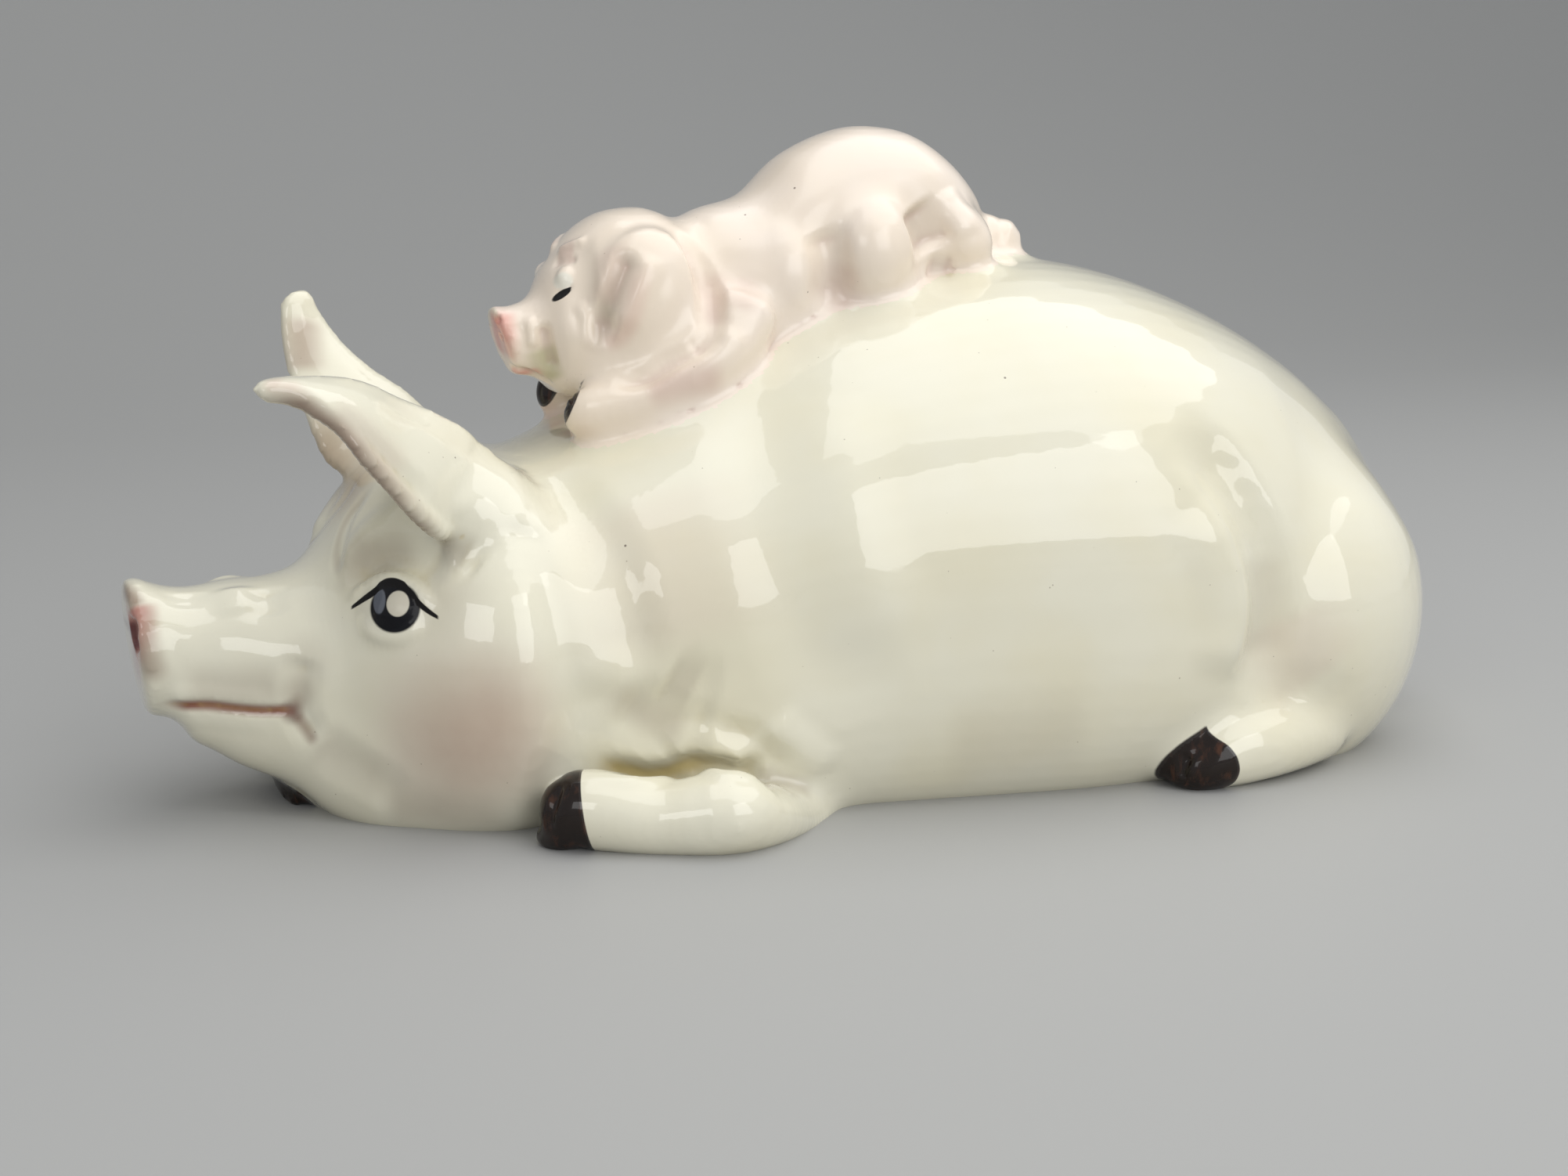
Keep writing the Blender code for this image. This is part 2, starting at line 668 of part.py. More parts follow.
def build_hind_leg(side_name, side, trunk, cutters):
    """A haunch that swells from the flank, with its foot and hoof along the table."""
    haunch_x = trunk.rear - HAUNCH_INSET
    centre_y = trunk.section(haunch_x)[0] + HAUNCH_PROUD - HAUNCH_HALF_DEPTH
    radii = (HAUNCH_HALF_LENGTH, HAUNCH_HALF_DEPTH, HAUNCH_HALF_HEIGHT)
    haunch = ellipsoid((haunch_x, side * centre_y, HAUNCH_MIDDLE_Z), radii, 26, 14)
    flatten_base(haunch)
    leg = add_object(f"sow_hind_leg_{side_name}", haunch, parts, "ivory_glaze")
    rows = leg_rows(HIND_FOOT_PATH, side, haunch_x, HIND_FOOT_REACH, trunk, HIND_FOOT_RADIUS)
    foot = limb(rows, end=HIND_HOOF_RATIO - HOOF_JOINT_RATIO, steps=7, tip_start=SHOULDER_ROUND_RATIO)
    add_boolean(leg, add_tool(f"foot_{side_name}", foot), "UNION")
    hoof = limb(rows, start=HIND_HOOF_RATIO + HOOF_JOINT_RATIO, steps=4, tip_end=HOOF_ROUND_RATIO)
    cut_by(leg, cutters)
    cut_by(add_object(f"sow_hind_hoof_{side_name}", hoof, parts, "hoof_glaze"), cutters)


def build_sow_tail(trunk, cutters):
    """A thin curl that lies against the rump; its side of the body isn't seen."""
    points = 20
    rows = []
    for k in range(points + 1):
        t = k / points
        angle = math.tau * TAIL_TURNS * t
        radius = TAIL_CURL_RADIUS * (1.0 - TAIL_CURL_CLOSING_RATIO * t)
        y = radius * math.sin(angle)
        z = TAIL_ROOT_Z - TAIL_CURL_RADIUS + radius * math.cos(angle)
        x = rear_surface(trunk, y, z) + TAIL_RADIUS * (0.55 + 0.9 * t)
        thick = TAIL_RADIUS * (1.0 - TAIL_TAPER_RATIO * t)
        rows.append((t, x, y, z, thick, thick))
    shape = limb(rows, sides=8, steps=points, tip_start=0.04, tip_end=0.04)
    cut_by(add_object("sow_tail", shape, parts, "ivory_glaze"), cutters)


def rear_surface(trunk, y, z):
    """X of the trunk's rear surface at a point seen from behind."""
    near, far = 0.5 * (trunk.front + trunk.rear), trunk.rear
    for _step in range(30):
        middle = 0.5 * (near + far)
        width, top, widest, _bottom = trunk.section(middle)
        inside = (abs(y) / max(width, 1e-6)) ** UPPER_POWER
        inside += (abs(z - widest) / max(top - widest, 1e-6)) ** UPPER_POWER
        near, far = (middle, far) if inside < 1.0 else (near, middle)
    return near


def build_piglet_hind_leg(side_name, side, trunk, cutters):
    """A bent hind leg: hip, foot behind, shank along the sow's back, and round knee."""
    rows = piglet_leg_rows(PIGLET_HIND_LEG_PATH, side, PIGLET_REAR_X, trunk)
    shape = limb(rows, steps=10, tip_start=0.16, tip_end=0.26)
    cut_by(add_object(f"piglet_hind_leg_{side_name}", shape, parts, "pink_glaze"), cutters)


def build_piglet_ear(side_name, side, head, cutters):
    """A lop ear that lies flat against the side of the head."""
    x = PIGLET_NOSE_X + PIGLET_EAR_PLACE_RATIO * (PIGLET_NAPE_X - PIGLET_NOSE_X)
    _width, top, widest, _bottom = head.section(x)
    z = widest + PIGLET_EAR_LIFT_RATIO * (top - widest)
    y = side * (head.side_at(x, z) + PIGLET_EAR_PROUD - PIGLET_EAR_HALF_DEPTH)
    radii = (PIGLET_EAR_HALF_WIDTH, PIGLET_EAR_HALF_DEPTH, PIGLET_EAR_HALF_LENGTH)
    item = add_object(f"piglet_ear_{side_name}", ellipsoid((x, y, z), radii), parts, "pink_glaze")
    cut_by(item, cutters)
    return grown(add_tool(f"ear_solid_{side_name}", ellipsoid((x, y, z), radii)))


def build_piglet_tail(trunk, cutters):
    """A short ridged curl that lies down on the sow's back."""
    rings = 6 * PIGLET_TAIL_RIDGES
    start_x = PIGLET_REAR_X - PIGLET_TAIL_ROOT
    rows = []
    for k in range(rings + 1):
        t = k / rings
        x = start_x + PIGLET_TAIL_LENGTH * t
        ridge = 1.0 + 0.16 * math.cos(math.tau * PIGLET_TAIL_RIDGES * t)
        radius = PIGLET_TAIL_RADIUS * (1.0 - 0.30 * t) * ridge
        z = trunk.top_at(x) + PIGLET_TAIL_RADIUS * (1.9 - 1.25 * t)
        rows.append((t, x, -0.002 * t, z, radius, radius))
    shape = limb(rows, sides=12, steps=rings, tip_start=0.06, tip_end=0.10)
    cut_by(add_object("piglet_tail", shape, parts, "pink_glaze"), cutters)


clear_scene()
parts = make_collection("sow_and_piglet_figurine")
tools = make_collection("cutters")

trunk_shape = trunk_form()
head_shape = head_form()
sow_trunk, trunk_solid = build_casting("sow_trunk", trunk_shape, 20, 28, neck_at_front=True)
cut_pour_hole(sow_trunk)
head_solid = build_casting("sow_head", head_shape, 18, 24, neck_at_front=False)[1]
trunk_cutter = grown(trunk_solid)
head_cutter = grown(head_solid)
sow_cutters = [trunk_cutter, head_cutter]

build_nose(
    "sow_nose", head_shape, NOSE_DISC_THICKNESS, NOSE_DISC_RIM, "nose_glaze",
    (NOSTRIL_SPREAD, NOSTRIL_HALF_WIDTH, NOSTRIL_HALF_HEIGHT, NOSTRIL_DEPTH),
)
build_ear("sow_ear_left", LEFT_EAR_ROWS, LEFT_EAR_REACH, LEFT_EAR_ROOT_LINE, sow_cutters)
build_ear("sow_ear_right", RIGHT_EAR_ROWS, RIGHT_EAR_REACH, RIGHT_EAR_ROOT_LINE, sow_cutters)
left_rows = leg_rows(
    LEFT_FORELEG_PATH, -1, NECK_X, LEFT_FORELEG_REACH, trunk_shape, FORELEG_RADIUS
)
right_rows = leg_rows(
    RIGHT_FORELEG_PATH, 1, NECK_X, RIGHT_FORELEG_REACH, trunk_shape, FORELEG_RADIUS
)
build_foreleg("sow", "left", left_rows, LEFT_FOREHOOF_RATIO, "ivory_glaze", sow_cutters)
build_foreleg("sow", "right", right_rows, RIGHT_FOREHOOF_RATIO, "ivory_glaze", sow_cutters)
build_hind_leg("left", -1, trunk_shape, sow_cutters)
build_hind_leg("right", 1, trunk_shape, sow_cutters)
build_sow_tail(trunk_shape, sow_cutters)

piglet_head_shape = piglet_head_form(trunk_shape)
piglet_head = add_object("piglet_head", piglet_head_shape.skin(16, 20), parts, "pink_glaze")
cut_by(piglet_head, sow_cutters)
piglet_head_cutter = grown(add_tool("piglet_head_solid", piglet_head_shape.skin(16, 20)))
build_nose(
    "piglet_nose", piglet_head_shape, PIGLET_NOSE_THICKNESS, PIGLET_NOSE_RIM, "piglet_nose_glaze",
    (
        PIGLET_NOSTRIL_SPREAD, PIGLET_NOSTRIL_HALF_WIDTH,
        PIGLET_NOSTRIL_HALF_HEIGHT, PIGLET_NOSTRIL_DEPTH,
    ),
)
piglet_body_shape = piglet_body_form(trunk_shape)
piglet_body = add_object("piglet_body", piglet_body_shape.skin(14, 20), parts, "pink_glaze")
cut_by(piglet_body, [trunk_cutter, piglet_head_cutter])
piglet_body_cutter = grown(add_tool("piglet_body_solid", piglet_body_shape.skin(14, 20)))
piglet_cutters = [trunk_cutter, piglet_head_cutter, piglet_body_cutter]
for side_name, side in (("left", -1), ("right", 1)):
    ear_cutter = build_piglet_ear(side_name, side, piglet_head_shape, piglet_cutters)
    foreleg_cutters = [head_cutter, ear_cutter] + piglet_cutters
    leg_path = piglet_leg_rows(PIGLET_FORELEG_PATH, side, PIGLET_FRONT_X, trunk_shape)
    build_foreleg("piglet", side_name, leg_path, PIGLET_FOREHOOF_RATIO, "pink_glaze", foreleg_cutters)
    build_piglet_hind_leg(side_name, side, trunk_shape, piglet_cutters)
build_piglet_tail(trunk_shape, piglet_cutters)
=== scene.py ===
"""Looks of a glazed earthenware figurine: a sow on her belly with a piglet along her back.

The clay forms are modelled whole and fused into one skin, as luted castings fuse in the kiln.
Strokes then work the folds into it, and it is parted into pieces that follow the castings.
Forms and strokes are in millimetres, in the frame's own axes; the finished pieces are in metres.
"""
import math

import bmesh
import bpy
import numpy as np
from bpy.props import FloatProperty, FloatVectorProperty, IntProperty, PointerProperty
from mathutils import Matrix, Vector
from mathutils.bvhtree import BVHTree

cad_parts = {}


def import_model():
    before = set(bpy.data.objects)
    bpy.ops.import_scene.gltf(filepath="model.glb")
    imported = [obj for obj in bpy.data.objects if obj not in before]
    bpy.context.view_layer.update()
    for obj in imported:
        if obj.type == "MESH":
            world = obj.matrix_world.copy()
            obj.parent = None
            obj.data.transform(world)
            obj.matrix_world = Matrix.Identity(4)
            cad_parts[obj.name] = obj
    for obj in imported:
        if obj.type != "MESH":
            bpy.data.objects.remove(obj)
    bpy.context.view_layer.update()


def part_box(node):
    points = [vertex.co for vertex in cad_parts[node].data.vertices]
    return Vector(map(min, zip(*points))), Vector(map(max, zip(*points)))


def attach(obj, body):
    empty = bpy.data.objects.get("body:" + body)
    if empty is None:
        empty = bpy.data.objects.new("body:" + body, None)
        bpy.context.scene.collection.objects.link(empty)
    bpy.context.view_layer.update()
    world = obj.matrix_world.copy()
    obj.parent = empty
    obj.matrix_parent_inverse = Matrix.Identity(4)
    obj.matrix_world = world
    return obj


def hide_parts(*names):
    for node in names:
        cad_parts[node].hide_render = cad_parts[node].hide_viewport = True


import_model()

bl_info = {
    "name": "Sow and piglet figurine",
    "version": (1, 0, 0),
    "blender": (4, 5, 0),
    "location": "3D View > Sidebar > Figurine",
    "description": "Models, glazes and stages a ceramic sow with her piglet",
    "category": "Add Mesh",
}

MM = 0.001
PHOTO_WIDTH = 2003
PHOTO_HEIGHT = 1502

# The worked skin: its name, where the head is parted from the trunk, how far a piece's closing
# faces lie under the skin, how deep the parted nose discs are, how far a hoof is parted within
# its border, and the distances that stand for far outside a form and well outside a hoof
CLAY = "worked_clay"
PARTING_X = -64.0
SEAM_DEPTH = 0.6
NOSE_DEPTH = 1.5
PIGLET_NOSE_DEPTH = 1.0
HOOF_LAP = 0.4
FAR = 99.0
OFF_HOOF = -5.0
HEAD_PART, TRUNK_PART, PIGLET_PART, NOSE_PART, PIGLET_NOSE_PART, HOOF_PART = range(1, 7)

# What is kept on the skin's vertices: its name and type, and the name and width of its values
KEPT = (
    ("skin_normal", "FLOAT_VECTOR", "vector", 3),
    ("spray", "FLOAT_COLOR", "color", 4),
    ("pool", "FLOAT", "value", 1),
    ("hoof", "FLOAT", "value", 1),
)


def taken(items, name, width=1, kind=float):
    """One property of every item, as an array."""
    values = np.empty(len(items) * width, dtype=kind)
    items.foreach_get(name, values)
    return values.reshape(-1, width) if width > 1 else values


def linked(name, data):
    """A new object in the scene."""
    item = bpy.data.objects.new(name, data)
    bpy.context.scene.collection.objects.link(item)
    return item


def box_mm(node):
    """The lowest and highest corners of a node, in millimetres."""
    low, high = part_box(node)
    return low / MM, high / MM


TRUNK_LOW, TRUNK_HIGH = box_mm("sow_trunk")
HEAD_HIGH = box_mm("sow_head")[1]

# Sow: sizes taken from the castings of the frame
NECK_X = TRUNK_LOW.x
RUMP_X = TRUNK_HIGH.x
TRUNK_HALF_WIDTH = TRUNK_HIGH.y
BACK_HEIGHT = TRUNK_HIGH.z
CHEEK_HALF_WIDTH = HEAD_HIGH.y
CROWN_HEIGHT = HEAD_HIGH.z
RUMP_ROUND = 26.0
NECK_HALF_WIDTH = 41.5
NECK_HEIGHT = 62.5
NECK_WIDEST = 28.0
NECK_LAP = 12.0
NECK_LAP_INSET = 1.0
NECK_LAP_BOTTOM = -8.0
SNOUT_X = -127.5
SNOUT_HALF_WIDTH = 11.8
SNOUT_HEIGHT = 42.5
NOSE_LEAN = 0.11
NOSE_LEAN_LENGTH = 12.0
NOSE_HALF_THICKNESS = 2.4
NOSE_RIM = 0.9
NOSE_OUTLINE_POWER = 0.35
NOSE_FACE_POWER = 0.6
UNDERCUT = 1.32
UPPER_POWER = 2.25
LOWER_POWER = 2.9
EAR_RIM_POWER = 0.45
EAR_TIP_THINNING = 0.08
EAR_TIP_NARROWING = 0.05

# The tail's curl on the rump: height of its middle, radius, turns, thickness and rise off the rump
TAIL_HEIGHT = 52.0
TAIL_CURL = 6.0
TAIL_TURNS = 0.9
TAIL_HALF_WIDTH = 2.1
TAIL_RISE = 2.0

# The pour hole, and the steps in and up of its wall from the rim
POUR_HOLE_X = 48.0
POUR_HOLE_STEPS = ((-0.5, 0.5), (0.0, 4.0), (1.0, 6.0), (3.0, 1.5))

# Station, half-width, top, widest point, as shares of the trunk's length, half-width and height
TRUNK_PROFILE = (
    (0.09, 0.75, 0.715, 0.320),
    (0.20, 0.83, 0.815, 0.360),
    (0.30, 0.88, 0.920, 0.390),
    (0.41, 0.95, 0.975, 0.395),
    (0.51, 1.00, 1.000, 0.390),
    (0.61, 0.99, 0.972, 0.380),
    (0.71, 0.90, 0.900, 0.365),
    (0.80, 0.75, 0.805, 0.340),
    (0.87, 0.62, 0.705, 0.300),
    (0.93, 0.53, 0.605, 0.265),
    (1.00, 0.46, 0.500, 0.225),
)
# Station along the head, half-width, top, widest point, bottom, as shares of the snout's sizes
SNOUT_PROFILE = (
    (0.000, 0.98, 1.000, 0.730, 0.450),
    (0.045, 1.03, 0.975, 0.690, 0.330),
    (0.105, 1.10, 0.965, 0.650, 0.275),
    (0.195, 1.31, 0.980, 0.620, 0.195),
    (0.316, 1.70, 0.985, 0.590, 0.100),
)
# The same as shares of the cheeks' half-width and the crown's height
CHEEK_PROFILE = (
    (0.421, 0.56, 0.670, 0.38, -0.03),
    (0.511, 0.675, 0.800, 0.41, -0.09),
    (0.617, 0.80, 0.925, 0.43, -0.12),
    (0.737, 0.93, 0.990, 0.43, -0.13),
    (0.857, 1.00, 1.000, 0.43, -0.13),
)
# Ear sheets, in millimetres from the crown of the neck: rows from the root to the tip, each
# with its lower rim, crest, inner rim and half-thickness
LEFT_EAR_ROWS = (
    ((-12.8, -22.0, -18.4), (-7.8, -14.0, -9.8), (-18.0, -2.0, -12.0), 2.6),
    ((-19.6, -31.0, -14.2), (-13.3, -22.5, 1.2), (-23.0, -10.0, -1.5), 2.6),
    ((-25.9, -37.5, -8.4), (-19.7, -26.0, 6.0), (-29.5, -16.0, 2.0), 2.5),
    ((-32.5, -41.0, -0.6), (-27.1, -29.0, 9.7), (-35.1, -22.0, 5.7), 2.4),
    ((-39.3, -44.0, 7.6), (-35.3, -34.5, 13.8), (-39.8, -30.0, 11.3), 2.3),
    ((-46.1, -45.5, 13.5), (-45.5, -40.5, 15.7), (-47.0, -38.0, 13.7), 2.1),
    ((-53.4, -46.5, 15.4), (-53.4, -45.0, 16.1), (-53.7, -44.0, 14.9), 1.9),
)
RIGHT_EAR_ROWS = (
    ((-23.0, 6.0, -26.0), (-7.0, 14.0, -16.0), (-16.0, 25.0, -29.0), 2.6),
    ((-27.5, 11.0, -9.5), (-9.0, 20.0, -3.5), (-18.0, 33.0, -15.5), 2.5),
    ((-31.5, 16.0, -5.0), (-14.0, 24.0, 4.0), (-23.0, 37.0, -5.5), 2.3),
    ((-34.0, 21.0, 3.5), (-20.5, 26.5, 9.0), (-27.5, 38.0, 3.5), 2.2),
    ((-36.0, 24.5, 11.0), (-26.0, 28.5, 14.5), (-31.0, 36.0, 12.0), 2.1),
    ((-36.5, 27.5, 18.5), (-29.8, 30.0, 20.5), (-33.0, 34.0, 19.5), 2.0),
    ((-35.5, 29.5, 26.0), (-32.0, 30.8, 26.0), (-33.5, 32.2, 26.0), 1.9),
)
# Legs: station, place behind the neck or the haunch, distance out from the side of the body,
# height, half-width and half-height
LEFT_FORELEG_PATH = (
    (0.00, 56.0, -24.0, 0.0, 4.0, 3.4),
    (0.20, 39.5, -5.2, 0.6, 5.4, 4.2),
    (0.42, 24.0, 8.4, 5.6, 8.0, 7.4),
    (0.64, 11.0, 8.2, 5.0, 7.2, 6.6),
    (0.82, -1.0, 6.4, 6.4, 6.9, 7.0),
    (0.92, -4.4, 3.6, 2.4, 6.4, 5.0),
    (1.00, -7.4, 0.4, 0.6, 5.6, 3.0),
)
RIGHT_FORELEG_PATH = (
    (0.00, 40.0, -16.0, 5.0, 6.0, 5.0),
    (0.20, 20.0, 1.0, 7.0, 7.8, 7.6),
    (0.42, -3.0, 8.0, 7.4, 8.2, 8.1),
    (0.62, -23.0, 1.0, 6.8, 7.3, 7.3),
    (0.80, -37.0, -21.0, 5.2, 6.6, 6.0),
    (0.91, -41.4, -37.5, 2.6, 5.0, 3.6),
    (1.00, -43.4, -49.5, 0.6, 4.0, 2.4),
)
HIND_FOOT_PATH = (
    (0.00, 4.5, -1.0, 5.6, 6.0, 5.6),
    (0.25, -7.5, -1.1, 6.6, 6.4, 6.4),
    (0.45, -16.5, -1.7, 6.8, 6.6, 6.8),
    (0.65, -24.5, -3.4, 6.4, 6.6, 7.0),
    (0.83, -30.5, -4.9, 4.6, 6.2, 5.6),
    (1.00, -37.5, -7.4, 2.2, 4.6, 3.4),
)
# Where each leg's hoof begins: the place and the way out of its border, how far it reaches, and
# how far its glaze stays off the body beside it
HOOVES = (
    ("sow_forehoof_left", (-62.8, -51.0, 5.0), (-0.893, 0.414, -0.170), 10.8, 1.8),
    ("sow_forehoof_right", (-103.0, 8.0, 3.0), (-0.35, -0.94, 0.0), 20.0, 0.3),
    ("sow_hind_hoof_left", (54.2, -56.0, 4.5), (-0.8, -0.55, -0.24), 12.0, 0.7),
    ("sow_hind_hoof_right", (54.2, 56.0, 4.5), (-0.8, 0.55, -0.24), 12.0, 0.7),
    ("piglet_forehoof_left", (-53.2, -14.0, 72.3), (-0.87, 0.28, 0.41), 6.0, 0.7),
    ("piglet_forehoof_right", (-50.4, 13.8, 70.9), (-0.87, -0.28, 0.41), 5.0, 0.7),
)
HAUNCH_MIDDLE = Vector((86.5, 0.0, 27.0))
HAUNCH_RADII = Vector((31.7, 31.0, 36.5))
HAUNCH_PROUD = 9.0
HAUNCH_SEAM = ((78.0, -44.0, 66.0), (98.0, -41.0, 61.0), (112.0, -35.0, 52.0), (121.0, -28.0, 38.0))

# Piglet: heights above the sow's back
PIGLET_FRONT_X = -33.0
PIGLET_REAR_X = 35.5
PIGLET_HALF_WIDTH = 16.5
PIGLET_RISE = 30.0
PIGLET_RUMP_ROUND = 20.5
PIGLET_NOSE_X = -60.0
PIGLET_NAPE_X = -21.0
PIGLET_NAPE_ROUND = 16.0
PIGLET_HEAD_HALF_WIDTH = 18.0
PIGLET_HEAD_RISE = 36.5
PIGLET_HEAD_SEAT_X = -40.0
PIGLET_NOSE_LEAN = 0.32
PIGLET_NOSE_LEAN_LENGTH = 7.0
PIGLET_NOSE_HALF_THICKNESS = 1.6
PIGLET_NOSE_RIM = 0.4
PIGLET_WIDEST = 0.42
PIGLET_SUNK = 0.4
PIGLET_SHORTER_FORELEG = 3.2
PIGLET_TAIL_LAP = 5.0
PIGLET_TAIL_LENGTH = 13.0
PIGLET_TAIL_RADIUS = 5.5
PIGLET_TAIL_RIDGES = 4
PIGLET_TAIL_RIDGE = 0.10
PIGLET_TAIL_LIFT = 4.2
PIGLET_TAIL_DROP = 2.0
PIGLET_TAIL_TURN = -3.0
# Where the skin is the piglet's: from front to rear, out to either side, up, off the sow's body,
# and over her neck only above a height
PIGLET_SPAN = (-66.0, 47.0)
PIGLET_SIDE = 30.0
PIGLET_FLOOR = 55.0
PIGLET_CLEAR = 0.8
PIGLET_OVER_NECK = 74.0
PIGLET_PROFILE = (
    (0.00, 0.72, 0.90),
    (0.12, 0.92, 0.95),
    (0.28, 1.00, 0.87),
    (0.40, 1.00, 0.97),
    (0.57, 1.00, 1.00),
    (0.72, 0.98, 0.92),
    (0.86, 0.92, 0.76),
    (1.00, 0.80, 0.56),
)
PIGLET_HEAD_PROFILE = (
    (0.00, 0.33, 0.505, 0.337, 0.165),
    (0.11, 0.46, 0.560, 0.330, 0.110),
    (0.17, 0.62, 0.720, 0.355, 0.070),
    (0.27, 0.80, 0.860, 0.410, 0.040),
    (0.42, 0.95, 0.965, 0.465, 0.030),
    (0.57, 1.00, 0.995, 0.490, 0.040),
    (0.73, 0.99, 0.990, 0.505, 0.060),
    (1.00, 0.95, 0.960, 0.510, 0.090),
)
# Station, place along the sow's back, distance from the middle, rise, half-width, half-height
PIGLET_FORELEG_PATH = (
    (0.00, -19.0, 15.0, 12.0, 7.2, 7.2),
    (0.35, -28.0, 18.5, 6.0, 6.6, 6.6),
    (0.70, -41.0, 17.2, 4.4, 5.4, 5.8),
    (1.00, -54.8, 13.2, 5.4, 4.2, 5.2),
)
PIGLET_HIND_LEG_PATH = (
    (0.00, 15.5, 8.6, 11.5, 6.2, 6.2),
    (0.40, 22.5, 10.6, 8.6, 6.4, 6.4),
    (0.75, 26.2, 12.0, 4.5, 6.2, 6.2),
    (1.00, 27.0, 12.0, -2.0, 5.4, 5.4),
)

# Balls of the piglet: the pixel of the middle, distance from the middle plane, radii
PIGLET_BALLS = (
    ((828, 388), 12.5, (11.3, 7.5, 14.0)),
    ((1114, 322), 14.4, (8.6, 8.0, 11.4)),
    ((1003, 355), 10.0, (9.5, 8.0, 13.0)),
)

# The camera, solved from the outline against the table plane
CAMERA_AZIMUTH = -22.0
CAMERA_ELEVATION = 12.0
CAMERA_DISTANCE = 0.45294
CAMERA_TARGET = Vector((-0.00605, 0.0, 0.03176))
CAMERA_FOCUS_PIXELS = 2900.0
SENSOR_WIDTH = 36.0

# The paper sweep under and behind the figurine, and the lamps' places, sizes and watts, in metres
SWEEP_HALF_WIDTH = 2.4
SWEEP_START = 0.5
SWEEP_RADIUS = 0.9
PAPER = (0.40, 0.40, 0.39)
LAMPS = (
    ("overhead", (0.20, -0.10, 0.75), 1.0, 4.7),
    ("front", (0.30, -1.05, 0.50), 0.75, 4.2),
    ("left", (-0.75, -0.75, 0.50), 0.35, 1.0),
)
LAMPS_AIM = Vector((0.0, 0.0, 0.04))
ROOM_COLOUR = (0.9, 0.92, 0.95, 1.0)
ROOM_STRENGTH = 0.55

# How the skin is worked: rounds of smoothing, the shares by which a round draws it in and lets it
# out, the spacing, reach and rounds of what is melted, where the skin is cut finer, how a brush
# fades towards the ends of a path, and the plane where a pixel past the outline is looked for
FUSED_SMOOTHING = 3
WORKED_SMOOTHING = 2
REFINED_SMOOTHING = 4
PIGLET_SMOOTHING = 7
POOL_SMOOTHING = 8
SHRINK, SWELL = 0.5, -0.52
HAUNCH_MELT = (19.0, 155)
EAR_MELT = (5.0, 5.5, 42)
ELBOW_MELT = (4.0, 5.0, 25)
FINE_BEFORE_X = -58.0
FORELEG_REAR, FORELEG_INSIDE, FORELEG_TOP = -10.0, -35.0, 26.0
HIND_HOOF_SPAN, HIND_HOOF_INSIDE, HIND_HOOF_TOP = (40.0, 72.0), 45.0, 16.0
BRUSH_FADE = 0.25
BRUSH_START = 0.15
PAST_OUTLINE_Y = -8.0

# Folds and swellings, as seen in the photograph: pixels of its 2003 x 1502 frame, cast onto the
# clay through its camera. Each has its reach and its depth in millimetres; a negative depth raises.
SOW_FOLDS = (
    # the neck's fold behind the cheek, and the roll in front of it
    (((690, 610), (735, 660), (772, 720), (796, 800), (800, 870)), 9.0, 1.5),
    (((660, 620), (705, 680), (742, 750), (762, 830), (765, 895)), 9.0, -1.4),
    # the crease between belly and haunch, and the belly's edge before it
    (((1500, 545), (1560, 600), (1602, 680), (1618, 760), (1610, 830), (1584, 890)), 8.5, 3.0),
    (((1530, 640), (1566, 720), (1572, 800), (1552, 870)), 10.0, -1.6),
    # over the hind foot
    (((1592, 880), (1640, 872), (1690, 876), (1722, 896)), 6.0, 0.4),
    # the hollow behind the shoulder
    (((1010, 480), (985, 560), (1000, 650), (1030, 760), (1065, 850), (1090, 930)), 14.0, 1.3),
    (((1062, 500), (1052, 620), (1085, 740), (1150, 850)), 14.0, -1.0),
    # the jaw's fold under the cheek
    (((405, 950), (440, 972), (480, 995), (520, 1022)), 6.5, 0.8),
    # cheek, jowl, haunch and the mound of the eye
    (((600, 900),), 26.0, -2.0),
    (((450, 1010),), 16.0, -0.7),
    (((1700, 770),), 34.0, -1.5),
    (((500, 776),), 9.0, -1.6),
)
SHOULDER_FOLDS = (
    # where the near ear runs out into the neck, and the hollow under its root
    (((640, 592), (632, 622), (618, 655), (600, 684)), 8.0, -2.4),
    (((652, 605), (650, 640), (642, 680)), 10.0, -1.4),
    (((585, 705), (602, 712), (618, 722)), 5.0, 0.7),
    # the rolled rim of the ear's lower edge, and the trough above it
    (((440, 556), (478, 596), (520, 642), (556, 676), (580, 690)), 2.4, -1.1),
    (((420, 528), (462, 560), (505, 604), (548, 645)), 4.0, 0.9),
    (((788, 893), (830, 915), (870, 935), (915, 945)), 8.0, 1.4),
    (((850, 862), (880, 880), (920, 890)), 9.0, 1.0),
    (((850, 960), (868, 950), (892, 947), (918, 953), (945, 963), (975, 972)), 4.6, -1.4),
    (((980, 920), (1000, 941), (1028, 964), (1064, 986)), 5.8, -1.1),
    (((905, 930), (950, 940), (985, 958), (1012, 978)), 4.4, 0.8),
    (
        (
            (755, 978), (790, 984), (822, 992), (850, 990), (880, 982),
            (920, 979), (952, 983), (985, 998), (1010, 1007),
        ),
        4.0, 1.7,
    ),
    (((752, 989), (800, 997), (840, 997), (880, 990), (915, 988), (945, 991), (975, 1000)), 2.6, -0.8),
    (((950, 1030),), 9.0, -0.8),
)
